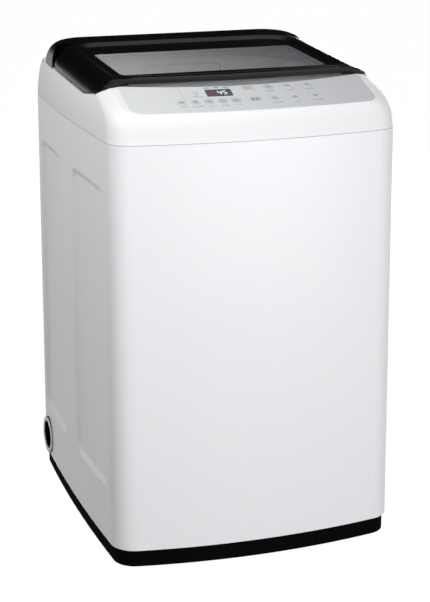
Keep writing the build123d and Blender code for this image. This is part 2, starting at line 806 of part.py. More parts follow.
def make_top_cover(form, lowered):
    """White top: outer form less the panel seat, hollow below, with the mouth walls."""
    solid = form - (panel_column(FIT) - lowered)
    shelf_low = lid_z(SKIRT_TURN_Y, -LID_DROP)
    hollow = prism(plan(COVER_WALL), SEAM_Z - 1, SEAM_Z + TALL) - above_shelf(-COVER_SKIN)
    hollow &= post(STEP_RHO - COVER_SKIN, 0, BOW_Y, SEAM_Z - 5, SEAM_Z + TALL)
    hollow -= block(-WIDTH, WIDTH, -DEPTH, LID_TIP_Y, shelf_low - COVER_SKIN, SEAM_Z + TALL)
    hollow += prism(plan(COVER_WALL), SEAM_Z - 1, SEAM_Z + COVER_HOLLOW)
    wedge = bow_turned([
        (PANEL_RHO - COVER_WALL, SEAM_Z - 1),
        (PANEL_RHO - COVER_WALL, panel_z(COVER_WALL) - PANEL_THICK - 3 * COVER_SKIN),
        (PANEL_RHO - SCOOP_START, panel_z(SCOOP_START) - PANEL_THICK - 3 * COVER_SKIN),
        (PANEL_RHO - SCOOP_START, SEAM_Z - 1),
    ])
    hollow += wedge & block(-PANEL_HALF, PANEL_HALF, -DEPTH, 0, SEAM_Z - 5, SEAM_Z + TALL)
    hollow -= mouth(MOUTH_WALL, SEAM_Z - 5, SEAM_Z + TALL)
    solid -= hollow
    solid += upstand()
    skirt_low = SEAM_Z - MOUTH_DEPTH
    walls = mouth(MOUTH_WALL, skirt_low, shelf_low - 1)
    solid += walls
    solid -= mouth(0.0, skirt_low - 1, SEAM_Z + TALL)
    tongue = prism(plan(SHEET + FIT), SEAM_Z - COVER_TONGUE, SEAM_Z + 1)
    tongue -= prism(plan(SHEET + FIT + COVER_TONGUE_WALL), SEAM_Z - COVER_TONGUE - 1, SEAM_Z + 2)
    solid += tongue
    solid -= key_well(SEAM_Z + 2, SEAM_Z + TALL)
    solid -= tray_space(HOUSING_GAP + HOUSING_WALL + FIT, MOUTH_Y - 20, MOUTH_Y + 30)
    solid -= post(VALVE_R + 1.0, INLET_X, INLET_Y, INLET_Z - 20, SEAM_Z + TALL)
    return solid


def panel_plane(x, run):
    """Plane on the panel cone with Z out of the panel."""
    rho = PANEL_RHO - run
    turn = asin(x / rho)
    slope = radians(PANEL_SLOPE)
    place = (x, BOW_Y - rho * cos(turn), panel_z(run))
    normal = (sin(turn) * sin(slope), -cos(turn) * sin(slope), cos(slope))
    return Plane(place, x_dir=(cos(turn), sin(turn), 0), z_dir=normal)


KEYS = {}
for index, key_x in enumerate(WASH_KEYS_X):
    KEYS["wash_key_%d" % (index + 1)] = (key_x, KEY_LOW_S, False)
for index, key_x in enumerate(UPPER_KEYS_X):
    KEYS["upper_key_%d" % (index + 1)] = (key_x, KEY_HIGH_S, False)
for index, key_x in enumerate(LOWER_KEYS_X):
    KEYS["lower_key_%d" % (index + 1)] = (key_x, KEY_LOW_S, False)
KEYS["power_key"] = (0.0, KEY_HIGH_S, True)
KEYS["start_key"] = (0.0, KEY_LOW_S, True)


def key_face(square, grow):
    """Outline of a key."""
    if square:
        return RectangleRounded(SQUARE_KEY + 2 * grow, SQUARE_KEY_H + 2 * grow, SQUARE_KEY_R + grow)
    return Circle(KEY_R + grow)


def make_key(x, run, square):
    """Key cap with a flange behind the panel and a stem to its switch."""
    cap = Pos(0, 0, -KEY_BODY) * extrude(key_face(square, 0.0), KEY_BODY + KEY_PROUD)
    cap = fillet(cap.edges().group_by(Axis.Z)[-1], KEY_EDGE)
    flange_top = -PANEL_THICK - 2 * FIT
    flange = Pos(0, 0, flange_top - KEY_FLANGE_T) * extrude(key_face(square, KEY_FLANGE), KEY_FLANGE_T)
    stem = post(KEY_STEM_R, 0, 0, -KEY_BODY - KEY_STEM, -KEY_BODY)
    return panel_plane(x, run) * (cap + flange + stem)


def make_control_panel(form, lowered):
    """Silver fascia that follows the cover form, with key holes and board posts."""
    plate = (form & panel_column(0.0)) - lowered
    for x, run, square in KEYS.values():
        hole = Pos(0, 0, -30) * extrude(key_face(square, KEY_GAP), 60)
        plate -= panel_plane(x, run) * hole
    lens = RectangleRounded(DISPLAY_WIDTH + 2 * FIT, DISPLAY_HEIGHT + 2 * FIT, DISPLAY_R + FIT)
    plate -= panel_plane(DISPLAY_X, DISPLAY_S) * (Pos(0, 0, -30) * extrude(lens, 60))
    board = board_plane()
    for x, y in board_corners():
        stem = board * post(POST_R, x, y, 0, BOARD_DEPTH + 8)
        plate += (stem & form) - (form - lowered)
    return plate


def board_plane():
    """Plane of the board's upper face."""
    run = (KEY_LOW_S + KEY_HIGH_S) / 2
    return panel_plane(0.0, run) * Pos(-10, 0, -BOARD_DEPTH)


def board_corners():
    """Places of the posts on the board."""
    x = BOARD_WIDTH / 2 - POST_INSET
    y = BOARD_HEIGHT / 2 - POST_INSET
    return [(-x, -y), (x, -y), (-x, y), (x, y)]


def make_display():
    """Dark lens flush in the panel."""
    lens = RectangleRounded(DISPLAY_WIDTH, DISPLAY_HEIGHT, DISPLAY_R)
    lens = Pos(0, 0, -PANEL_THICK) * extrude(lens, PANEL_THICK + DISPLAY_PROUD)
    return panel_plane(DISPLAY_X, DISPLAY_S) * lens


def make_board():
    """Board behind the panel with one switch under every key."""
    plane = board_plane()
    board = Pos(0, 0, -BOARD_THICK / 2) * Box(BOARD_WIDTH, BOARD_HEIGHT, BOARD_THICK)
    run = (KEY_LOW_S + KEY_HIGH_S) / 2
    slope = cos(radians(PANEL_SLOPE))
    for x, key_run, square in KEYS.values():
        y = (key_run - run) / slope
        board += Pos(x + 10, y, SWITCH_HEIGHT / 2 - 0.2) * Box(SWITCH_SIZE, SWITCH_SIZE, SWITCH_HEIGHT)
    return plane * board


def lid_outline(inset):
    """Lid plan: bowed front, straight sides, rounded corners."""
    half = LID_HALF - inset
    rho = LID_RHO - inset
    back = LID_REAR - inset
    corner_y = BOW_Y - sqrt(rho ** 2 - half ** 2)
    edges = [
        ThreePointArc((-half, corner_y), (0, BOW_Y - rho), (half, corner_y)),
        Line((half, corner_y), (half, back)),
        Line((half, back), (-half, back)),
        Line((-half, back), (-half, corner_y)),
    ]
    face = make_face(edges)
    face = fillet(face.vertices().sort_by(Axis.Y)[:2], LID_FRONT_CORNER_R - inset)
    return fillet(face.vertices().sort_by(Axis.Y)[-2:], LID_REAR_CORNER_R - inset)


def lid_above(above):
    """Space over the lid plane raised by a distance."""
    return LID_PLANE * block(-WIDTH, WIDTH, -DEPTH, DEPTH, above, TALL)


def lid_crown(inset):
    """Outer form of the lid: rounded sides that fall from the rim and wrap round the rear corners."""
    front = LID_FRONT - 2 * LIP_RUN
    rows = []
    for above, side, back, corner in LID_ROWS:
        width = 2 * (LID_HALF - side - inset)
        length = LID_REAR - back - inset - front
        face = Pos(0, front + length / 2) * RectangleRounded(width, length, corner - inset)
        rows.append(Pos(0, 0, above - inset) * face)
    skirt = extrude(rows[0], -TALL)
    return LID_PLANE * (loft(rows) + skirt)


def lid_dish():
    """Dish inside the raised rim."""
    half = LID_HALF - RIM_SIDE - RIM_SLOPE - RIM_TOP
    back = LID_REAR - RIM_REAR - RIM_SLOPE
    front = LID_FRONT - 60
    reach = RIM_SLOPE * 2
    rows = []
    for grow, above in ((0.0, 0.0), (reach, 2 * RIM_HEIGHT)):
        width = 2 * (half + grow)
        length = back - front + grow
        corner = LID_REAR_CORNER_R - RIM_REAR + grow
        face = Pos(0, front + length / 2) * RectangleRounded(width, length, corner)
        rows.append(Pos(0, 0, above) * face)
    return LID_PLANE * loft(rows, ruled=True)


def lip_swell():
    """Long low hump across the lid that lifts the middle of the lip over the rim."""
    fall = LIP_SWELL_R - sqrt(LIP_SWELL_R ** 2 - (LID_HALF - LIP_SWELL_HALF) ** 2)
    left = (-LID_HALF, LIP_CREST - fall)
    right = (LID_HALF, LIP_CREST - fall)
    turn = LID_HALF - LIP_SWELL_HALF
    mid = LIP_SWELL_HALF + turn / 2
    mid_z = LIP_CREST - LIP_SWELL_R + sqrt(LIP_SWELL_R ** 2 - (turn / 2) ** 2)
    edges = [
        Line((-LIP_SWELL_HALF, LIP_CREST), (LIP_SWELL_HALF, LIP_CREST)),
        ThreePointArc((LIP_SWELL_HALF, LIP_CREST), (mid, mid_z), right),
        Line(right, (LID_HALF, -LID_DROP - TALL)),
        Line((LID_HALF, -LID_DROP - TALL), (-LID_HALF, -LID_DROP - TALL)),
        Line((-LID_HALF, -LID_DROP - TALL), left),
        ThreePointArc(left, (-mid, mid_z), (-LIP_SWELL_HALF, LIP_CREST)),
    ]
    return extrude(LID_PLANE * (Plane.XZ * make_face(edges)), DEPTH, both=True)


def lip_sweep(low):
    """Space under the lip, whose edge sweeps down to the lid tips in two arcs on each side."""
    near = LID_HALF - LIP_SWEEP_IN
    far = LID_HALF - LIP_SWEEP_OUT
    high = lid_z(LID_FRONT, -LIP_DROP)
    tip = lid_z(LID_FRONT, -TIP_DROP)
    mid = ((near + far) / 2, (high + tip) / 2)
    quarter = (far - near) / 4
    radius = (4 * quarter ** 2 + (high - mid[1]) ** 2) / (2 * (high - mid[1]))
    sag = radius - sqrt(radius ** 2 - quarter ** 2)
    edges = []
    for side in (-1, 1):
        start = (side * near, high)
        turn = (side * mid[0], mid[1])
        end = (side * far, tip)
        edges.append(ThreePointArc(start, (side * (near + quarter), high - sag), turn))
        edges.append(ThreePointArc(turn, (side * (far - quarter), tip + sag), end))
        edges.append(Line(end, (side * far, low)))
    edges.append(Line((-near, high), (near, high)))
    edges.append(Line((-far, low), (far, low)))
    face = Plane.XZ * make_face(edges)
    reach = block(-WIDTH, WIDTH, -DEPTH, LID_FRONT + LIP_RUN, low - 1, high + 1)
    return extrude(face, 2 * DEPTH, both=True) & reach


def lid_lip():
    """Rolled front lip as a ring piece about the bow axis."""
    def place(run, above):
        y = LID_FRONT + run
        return (y, lid_z(y, above))
    foot = place(0.0, -LIP_DROP)
    brow = place(0.0, -LIP_DROP / 4)
    swell = place(LIP_CREST_RUN * 0.3, LIP_CREST * 0.68)
    crest = place(LIP_CREST_RUN, LIP_CREST)
    fall = place((LIP_CREST_RUN + LIP_RUN) / 2, LIP_CREST * 0.62)
    tail = place(LIP_RUN, -0.5)
    under = place(LIP_RUN, -LID_WALL)
    back = place(LID_WALL * 1.5, -LIP_DROP)
    edges = [
        Line(foot, brow),
        ThreePointArc(brow, swell, crest),
        ThreePointArc(crest, fall, tail),
        Line(tail, under),
        Line(under, back),
        Line(back, foot),
    ]
    return bow_turn(make_face(edges))


def window_face(grow):
    """Outline of the lid window in the lid plane."""
    half = LID_HALF - WINDOW_SIDE + grow
    front = LID_FRONT + WINDOW_FRONT_SETBACK - grow
    back = LID_REAR - WINDOW_REAR_SETBACK + grow
    return Pos(0, (front + back) / 2) * RectangleRounded(2 * half, back - front, WINDOW_CORNER_R + grow)


def make_lid_frame():
    """Black lid: dished shell with raised rim, sloped sides, rolled lip and hinge nose."""
    low = lid_z(LID_FRONT, -LID_DROP - 40)
    high = SEAM_Z + TALL
    column = prism(lid_outline(0.0), low, high)
    body = (column & lid_crown(0.0)) - lid_dish()
    body -= lid_above(0.0) - post(LID_RHO - LIP_CREST_RUN, 0, BOW_Y, low, high)
    body += lid_lip() & column & (lid_crown(0.0) + lip_swell() & column)
    inner = (prism(lid_outline(LID_WALL), low - 1, high) - lid_above(-LID_WALL)) & lid_crown(LID_WALL)
    nose_front = HINGE_Y - LID_NOSE_R - 2
    inner -= block(-WIDTH, WIDTH, nose_front, DEPTH, HINGE_Z - LID_NOSE_R, SEAM_Z + TALL)
    body -= inner
    edge = shelf_profile(LID_SEAT_GAP)
    body -= side_profile(edge + [(DEPTH, low - 50), (LID_FRONT - 30, low - 50)])
    body -= block(-WIDTH, WIDTH, nose_front, DEPTH, low - 1, HINGE_Z - LID_NOSE_R)
    body -= lip_sweep(low - 1)
    body -= hinge_slots()
    body -= LID_PLANE * prism(window_face(0.0), -WINDOW_THICK - WINDOW_RECESS, 20)
    body -= LID_PLANE * prism(window_face(-WINDOW_LEDGE), -20, 20)
    body += LID_PLANE * window_ledge()
    reach = PIN_LENGTH / 2 + 1
    body -= both_sides(along_x(PIN_R + RUN, HINGE_X - reach, HINGE_X + reach, HINGE_Y, HINGE_Z))
    return body


def window_ledge():
    """Frame under the glass, in the lid plane."""
    top = -WINDOW_THICK - WINDOW_RECESS
    ring = prism(window_face(LID_WALL), top - LID_WALL, -LID_WALL + 0.5)
    ring -= prism(window_face(0.0), top, 5)
    return ring - prism(window_face(-WINDOW_LEDGE), top - 10, 5)


def hinge_slots():
    """Notches in the lid nose for the hinge ears."""
    half = EAR_WIDTH / 2 + EAR_SIDE_GAP
    slot = block(
        HINGE_X - half, HINGE_X + half, HINGE_Y - EAR_R - EAR_SLOT_GAP, DEPTH,
        HINGE_Z - TALL, HINGE_Z + TALL)
    return both_sides(slot)


def make_lid_window():
    """Smoked glass in the lid."""
    top = -WINDOW_RECESS
    return LID_PLANE * prism(window_face(-FIT), top - WINDOW_THICK, top)


def make_hinge_pins():
    """Two pins in the lid nose, one group."""
    pin = along_x(PIN_R, HINGE_X - PIN_LENGTH / 2, HINGE_X + PIN_LENGTH / 2, HINGE_Y, HINGE_Z)
    return [pin, mirror(pin, Plane.YZ)]


def make_hinge_brackets():
    """Two ears standing on the shelf, one group."""
    half = EAR_WIDTH / 2
    below = lid_z(-DEPTH, -LID_DROP)
    head = along_x(EAR_R, HINGE_X - half, HINGE_X + half, HINGE_Y, HINGE_Z)
    near_y = HINGE_Y - EAR_NECK / 2
    far_y = HINGE_Y + EAR_NECK / 2
    neck = block(HINGE_X - half, HINGE_X + half, near_y, far_y, below, HINGE_Z)
    foot_top = lid_z(HINGE_Y, -LID_DROP) + EAR_FOOT_H
    foot = block(HINGE_X - EAR_FOOT, HINGE_X + EAR_FOOT, near_y, far_y, below, foot_top)
    ear = head + neck + foot
    ear -= along_x(PIN_R + RUN, HINGE_X - EAR_WIDTH, HINGE_X + EAR_WIDTH, HINGE_Y, HINGE_Z)
    ear &= above_shelf(0.0)
    return [ear, mirror(ear, Plane.YZ)]


def make_bumpers():
    """Two rubber stops under the lid sides, one group."""
    x = LID_HALF - BUMPER_INSET - LID_WALL / 2
    top = -LID_DROP + LID_SEAT_GAP - BUMPER_GAP
    stop = LID_PLANE * post(BUMPER_R, x, BUMPER_Y, -LID_DROP, top)
    stop &= above_shelf(0.0)
    return [stop, mirror(stop, Plane.YZ)]


def deck_body(inset):
    """Domed outer form of the rear deck."""
    rows = []
    for rise, side in DECK_ROWS:
        draw = side + inset
        row = plan(draw, draw, draw, FRONT_CORNER_R, DECK_CORNER_R - inset)
        rows.append(Pos(0, 0, SEAM_Z + rise - inset) * row)
    return loft(rows)


def deck_space(grow, inset):
    """Plan space of the rear deck behind the lid."""
    tip = LID_REAR - LID_REAR_CORNER_R + DECK_TIP
    return block(-WIDTH, WIDTH, tip + inset, DEPTH, SEAM_Z, SEAM_Z + TALL) - prism(
        lid_outline(-LID_GAP - grow), SEAM_Z - 1, SEAM_Z + TALL + 1)


def make_rear_deck():
    """Black hood behind the lid, hollow below."""
    front_y = LID_REAR + LID_GAP
    crown_y = REAR_Y - DECK_CROWN_SETBACK
    over = side_profile([
        (LID_REAR - 100, lid_z(LID_REAR - 100, DECK_FRONT_RISE)),
        (front_y, lid_z(front_y, DECK_FRONT_RISE)),
        (crown_y, lid_z(crown_y, DECK_CROWN_RISE)),
        (DEPTH, lid_z(crown_y, DECK_CROWN_RISE)),
        (DEPTH, SEAM_Z + TALL),
        (LID_REAR - 100, SEAM_Z + TALL),
    ])
    body = (deck_body(0.0) & deck_space(0.0, 0.0)) - over
    body &= above_shelf(0.0)
    hollow = (deck_body(DECK_WALL) & deck_space(DECK_WALL, DECK_WALL + 8)) - Pos(0, 0, -DECK_WALL) * over
    body -= hollow
    body -= along_y(INLET_THREAD_R + 2.0, DECK_DEPTH, DEPTH, INLET_X, SEAM_Z + INLET_RISE)
    return body


def make_drawer():
    """Drawer front with the tray behind it."""
    face = RectangleRounded(DRAWER_WIDTH, DRAWER_HEIGHT, DRAWER_CORNER_R)
    plane = Plane((DRAWER_X, TRAY_Y0, (DRAWER_Z0 + DRAWER_Z1) / 2), x_dir=(1, 0, 0), z_dir=(0, -1, 0))
    front = plane * extrude(face, DRAWER_FRONT)
    front = fillet(front.edges().group_by(Axis.Y)[0], 1.2)
    tray = tray_space(-HOUSING_GAP, TRAY_Y0, TRAY_Y1)
    tray -= block(
        DRAWER_X - TRAY_HALF + HOUSING_GAP + TRAY_WALL, DRAWER_X + TRAY_HALF - HOUSING_GAP - TRAY_WALL,
        TRAY_Y0 + TRAY_WALL, TRAY_Y1 - TRAY_WALL, TRAY_Z0 + HOUSING_GAP + TRAY_WALL, TRAY_Z1 + 5)
    return front + tray


HOUSING_Y0 = MOUTH_Y + FIT
HOUSING_Y1 = TRAY_Y1 + FIT + HOUSING_WALL


def make_housing():
    """Box around the drawer tray behind the mouth wall, open at the front, with floor outlets."""
    shell = tray_space(HOUSING_WALL, HOUSING_Y0, HOUSING_Y1)
    shell -= tray_space(0.0, HOUSING_Y0 - 10, TRAY_Y1 + FIT)
    x = DRAWER_X - TRAY_HALF
    shell += along_x(VALVE_PIPE_R + 2.0, x - 10, x - HOUSING_WALL / 2, INLET_Y, INLET_Z)
    shell -= along_x(VALVE_PIPE_R + FIT, x - 20, x + 5, INLET_Y, INLET_Z)
    return shell


INLET_Z = (TRAY_Z0 + TRAY_Z1) / 2 + VALVE_LIFT
INLET_Y = MOUTH_Y + VALVE_SETBACK
STUB_Z = SEAM_Z + INLET_RISE


def make_inlet_valve():
    """Inlet valve: threaded stub on a neck through the deck, upright body, pipe to the dispenser."""
    end = DEPTH / 2
    shoulder = end - INLET_THREAD
    body = along_y(INLET_THREAD_R, shoulder, end, INLET_X, STUB_Z)
    body += along_y(INLET_NECK_R, shoulder - INLET_NECK, shoulder, INLET_X, STUB_Z)
    body += post(VALVE_R, INLET_X, INLET_Y, INLET_Z - 2 * VALVE_PIPE_R, STUB_Z + INLET_NECK_R)
    x = DRAWER_X - TRAY_HALF - HOUSING_WALL
    body += along_x(VALVE_PIPE_R, INLET_X, x, INLET_Y, INLET_Z)
    body -= along_y(INLET_BORE_R, end - INLET_BORE, end + 1, INLET_X, STUB_Z)
    return body


def make_gland():
    """Cord gland in the rear panel."""
    z = SEAM_Z - GLAND_DROP
    face = REAR_Y - SHEET
    body = along_y(GLAND_R, face - GLAND_LENGTH, face, GLAND_X, z)
    body += along_y(GLAND_FLANGE_R, face + FIT / 3, face + GLAND_FLANGE, GLAND_X, z)
    body += along_y(GLAND_R, face - 0.5, face + GLAND_FLANGE, GLAND_X, z)
    return body - along_y(GLAND_BORE_R, face - 40, face + 40, GLAND_X, z)


def rod_places():
    """Places of the hanging rods."""
    return [(sx * ROD_X, TUB_Y + sy * ROD_Y) for sy in (-1, 1) for sx in (-1, 1)]


BRACKET_TOP = SEAM_Z - BRACKET_DROP
LUG_Z = TUB_BOTTOM + LUG_RISE
CUP_TOP = LUG_Z - LUG_THICK
CUP_BOTTOM = CUP_TOP - CUP_LENGTH
PLATE_REST = CUP_BOTTOM + ROD_END + 18


def make_corner_brackets():
    """Four corner plates that carry the rods, one group."""
    inside = prism(plan(SHEET + FIT), BRACKET_TOP - 60, SEAM_Z)
    plates = []
    for x, y in rod_places():
        sx = 1 if x > 0 else -1
        ends = sorted((x - sx * BRACKET_SIZE / 2, sx * WIDTH))
        near_y = y - BRACKET_SIZE / 2
        plate = block(*ends, near_y, near_y + BRACKET_SIZE, BRACKET_TOP - BRACKET_THICK, BRACKET_TOP)
        plates.append((plate & inside) - post(ROD_R + LOOSE, x, y, 0, SEAM_Z))
    return plates


def make_rods():
    """Four rods with a head on the bracket and a spring plate below, one group."""
    rods = []
    for x, y in rod_places():
        rod = post(ROD_R, x, y, PLATE_REST - ROD_END, BRACKET_TOP + ROD_HEAD / 2)
        head = post(ROD_HEAD_R, x, y, BRACKET_TOP, BRACKET_TOP + ROD_HEAD)
        rods.append(rod + head + post(ROD_PLATE_R, x, y, PLATE_REST - ROD_PLATE, PLATE_REST))
    return rods


def make_cups():
    """Four damper cups under the tub lugs, one group."""
    cups = []
    for x, y in rod_places():
        cup = post(CUP_R, x, y, CUP_BOTTOM, CUP_TOP)
        cup -= post(CUP_R - CUP_WALL, x, y, CUP_BOTTOM - 1, CUP_TOP - CUP_WALL)
        cups.append(cup - post(ROD_R + LOOSE, x, y, CUP_BOTTOM, CUP_TOP + 1))
    return cups


def make_springs():
    """Four coil springs between rod plate and cup, one group."""
    low = PLATE_REST + SPRING_WIRE_R + FIT
    high = CUP_TOP - CUP_WALL - SPRING_WIRE_R - FIT
    height = high - low
    pitch = height / SPRING_TURNS
    path = Helix(pitch, height, SPRING_R)
    section = Plane(path @ 0, z_dir=path % 0) * Circle(SPRING_WIRE_R)
    coil = sweep(section, path=path)
    return [Pos(x, y, low) * coil for x, y in rod_places()]


def make_tub():
    """Outer tub with its rim, four lugs and the drain neck."""
    body = post(TUB_R, 0, TUB_Y, TUB_BOTTOM, TUB_TOP)
    body -= post(TUB_R - TUB_WALL, 0, TUB_Y, TUB_BOTTOM + TUB_FLOOR, TUB_TOP + 1)
    for x, y in rod_places():
        lug = post(LUG_R, x, y, LUG_Z - LUG_THICK, LUG_Z)
        scale = (TUB_R - 10) / hypot(x, y - TUB_Y)
        arm_x, arm_y = x * scale, TUB_Y + (y - TUB_Y) * scale
        turn = degrees(asin((y - TUB_Y) / hypot(x, y - TUB_Y))) * (1 if x > 0 else -1)
        reach = hypot(x - arm_x, y - arm_y)
        arm = Pos((x + arm_x) / 2, (y + arm_y) / 2, LUG_Z - LUG_THICK / 2) * Rot(0, 0, turn) * Box(
            reach, 2 * LUG_R, LUG_THICK)
        body += lug + arm
        body -= post(ROD_R + LOOSE, x, y, LUG_Z - 40, LUG_Z + 40)
    body -= post(TUB_R - TUB_WALL, 0, TUB_Y, TUB_BOTTOM + TUB_FLOOR, TUB_TOP + 1)
    body += pipe(DRAIN_NECK_R, DRAIN_NECK_R - 3, VALVE_X, VALVE_Y, TUB_BOTTOM - PLATE_GAP, TUB_BOTTOM + 1)
    body -= post(DRAIN_NECK_R - 3, VALVE_X, VALVE_Y, TUB_BOTTOM - 20, TUB_BOTTOM + 20)
    body -= post(SEAL_R + FIT, 0, TUB_Y, TUB_BOTTOM - 20, TUB_BOTTOM + 20)
    return body


def make_tub_cover():
    """Ring over the tub rim."""
    inner_r = TUB_R - TUB_WALL - DRUM_GAP - RING_WIDTH - 4
    top = TUB_TOP + COVER_RING
    points = [
        (TUB_R + COVER_RING_WALL + FIT, TUB_TOP - COVER_RING),
        (TUB_R + COVER_RING_WALL + FIT, TUB_TOP + COVER_RING_WALL),
        (inner_r + 14, top),
        (inner_r, top),
        (inner_r, top - COVER_RING_WALL),
        (inner_r + 13, top - COVER_RING_WALL),
        (TUB_R + FIT, TUB_TOP),
        (TUB_R + FIT, TUB_TOP - COVER_RING),
    ]
    seat = pipe(TUB_R + FIT + 1, TUB_R - TUB_WALL, 0, TUB_Y, TUB_TOP, TUB_TOP + COVER_RING_WALL)
    ring = Pos(0, TUB_Y, 0) * revolve(Plane.XZ * polygon(points), Axis.Z)
    return ring + seat


def make_seal():
    """Water seal in the tub floor."""
    low = TUB_BOTTOM - SEAL_HEIGHT / 3
    return pipe(SEAL_R, SPIN_SHAFT_R + RUN, 0, TUB_Y, low, low + SEAL_HEIGHT)


def make_drum():
    """Stainless wash drum with a rolled waist."""
    wall_in = DRUM_R - DRUM_WALL
    body = post(DRUM_R, 0, TUB_Y, DRUM_BOTTOM, DRUM_TOP)
    body -= post(wall_in, 0, TUB_Y, DRUM_BOTTOM + DRUM_BASE, DRUM_TOP + 1)
    return body - post(WASH_SHAFT_R + LOOSE, 0, TUB_Y, DRUM_BOTTOM - 1, DRUM_BOTTOM + 20)


def make_balance_ring():
    """Weighted ring on the drum wall."""
    body = pipe(DRUM_R, DRUM_R - RING_WIDTH, 0, TUB_Y, DRUM_TOP, RING_TOP)
    inner = body.edges().filter_by(GeomType.CIRCLE).sort_by(SortBy.RADIUS)[:2]
    return fillet(inner, 10)


def make_hub():
    """Three armed hub under the drum, keyed to the spin shaft."""
    top = DRUM_BOTTOM
    body = post(HUB_R, 0, TUB_Y, top - HUB_THICK, top)
    arm = block(0, DRUM_R - 10, TUB_Y - HUB_ARM / 2, TUB_Y + HUB_ARM / 2, top - HUB_THICK, top)
    body += around(arm, 3, 0, TUB_Y, 90)
    return body - post(SPIN_SHAFT_R, 0, TUB_Y, top - 40, top + 1)


def make_filters():
    """Lint filters on the drum wall, one group."""
    low = DRUM_BOTTOM + DRUM_BASE + FILTER_RISE
    space = post(DRUM_R - DRUM_WALL - FIT, 0, TUB_Y, low, low + FILTER_HEIGHT)
    inner = post(DRUM_R - DRUM_WALL - FILTER_THICK, 0, TUB_Y, low - 1, low + FILTER_HEIGHT + 1)
    bar = block(0, WIDTH, TUB_Y - FILTER_WIDTH / 2, TUB_Y + FILTER_WIDTH / 2, low, low + FILTER_HEIGHT)
    return around((bar & space) - inner, FILTERS, 0, TUB_Y, 30)


PULSATOR_LOW = DRUM_BOTTOM + DRUM_BASE + PULSATOR_GAP
PULSATOR_HIGH = PULSATOR_LOW + PULSATOR_THICK


def make_pulsator():
    """Wash plate with a domed middle and rounded vanes."""
    body = post(PULSATOR_R, 0, TUB_Y, PULSATOR_LOW, PULSATOR_HIGH)
    body += Pos(0, TUB_Y, PULSATOR_HIGH + PULSATOR_DOME / 2) * Cone(PULSATOR_DOME_R, CAP_R + 6, PULSATOR_DOME)
    reach = PULSATOR_R - 8 - CAP_R
    vane = Pos(CAP_R + reach / 2, TUB_Y, PULSATOR_HIGH) * Rot(0, 90, 0) * Cone(VANE_IN_R, VANE_OUT_R, reach)
    body += around(vane, VANES, 0, TUB_Y)
    body &= post(PULSATOR_R, 0, TUB_Y, PULSATOR_LOW, PULSATOR_HIGH + PULSATOR_DOME)
    body -= post(WASH_SHAFT_R + RUN, 0, TUB_Y, PULSATOR_LOW - 1, PULSATOR_HIGH + PULSATOR_DOME - CAP_HEIGHT)
    return body


def make_pulsator_cap():
    """Cap over the pulsator screw."""
    low = PULSATOR_HIGH + PULSATOR_DOME
    cap = post(CAP_R, 0, TUB_Y, low, low + CAP_HEIGHT)
    return fillet(cap.edges().group_by(Axis.Z)[-1], CAP_HEIGHT / 2)


def make_spin_shaft():
    """Hollow shaft from the clutch to the hub."""
    return pipe(SPIN_SHAFT_R, WASH_SHAFT_R + LOOSE, 0, TUB_Y, CLUTCH_BOTTOM + CLUTCH_WALL, DRUM_BOTTOM)


def make_wash_shaft():
    """Inner shaft from the clutch to the pulsator."""
    high = PULSATOR_HIGH + PULSATOR_DOME - CAP_HEIGHT
    return post(WASH_SHAFT_R, 0, TUB_Y, CLUTCH_BOTTOM + CLUTCH_WALL, high)


def make_clutch():
    """Clutch and gear case under the support plate."""
    case = post(CLUTCH_R, 0, TUB_Y, CLUTCH_BOTTOM, CLUTCH_TOP)
    case -= post(SPIN_SHAFT_R + 8, 0, TUB_Y, CLUTCH_BOTTOM + CLUTCH_WALL - LOOSE, CLUTCH_TOP + 1)
    case -= post(BEARING_R + RUN, 0, TUB_Y, CLUTCH_TOP - BEARING_HEIGHT, CLUTCH_TOP + 1)
    case -= post(WASH_SHAFT_R + RUN, 0, TUB_Y, CLUTCH_BOTTOM - 1, CLUTCH_TOP)
    return fillet(case.edges().filter_by(GeomType.CIRCLE).group_by(Axis.Z)[0].sort_by(SortBy.RADIUS)[-1:], 8)


def make_bearing():
    """Ball bearing of the spin shaft."""
    return pipe(BEARING_R, SPIN_SHAFT_R + RUN, 0, TUB_Y, CLUTCH_TOP - BEARING_HEIGHT, CLUTCH_TOP)


def make_support_plate():
    """Steel plate under the tub that carries clutch and motor, with pads to the tub floor."""
    right = CLUTCH_R + PLATE_MARGIN
    left = MOTOR_X - MOTOR_R - PLATE_MARGIN
    half = CLUTCH_R + PLATE_MARGIN
    plate = block(left, right, TUB_Y - half, TUB_Y + half, CLUTCH_TOP, PLATE_TOP)
    plate = fillet(plate.edges().filter_by(Axis.Z), PLATE_MARGIN)
    pads = []
    for sx in (left + PLATE_MARGIN, right - PLATE_MARGIN):
        for sy in (-1, 1):
            pad_y = TUB_Y + sy * (half - PLATE_MARGIN)
            pads.append(post(PLATE_MARGIN / 2, sx, pad_y, CLUTCH_TOP, TUB_BOTTOM))
    plate += pads
    plate -= post(BEARING_R - 6, 0, TUB_Y, CLUTCH_TOP - 1, TUB_BOTTOM)
    plate -= post(SEAL_R + 2, 0, TUB_Y, PLATE_TOP, TUB_BOTTOM)
    plate -= post(DRAIN_VALVE_R + 4, VALVE_X, VALVE_Y, CLUTCH_TOP - 1, TUB_BOTTOM)
    return plate


def motor_feet():
    """Places of the motor feet."""
    half = MOTOR_FOOT_PITCH / 2
    return [(MOTOR_X + sx * half, TUB_Y + sy * half) for sx in (-1, 1) for sy in (-1, 1)]


MOTOR_TOP = CLUTCH_TOP - MOTOR_FOOT
MOTOR_BOTTOM = CLUTCH_BOTTOM


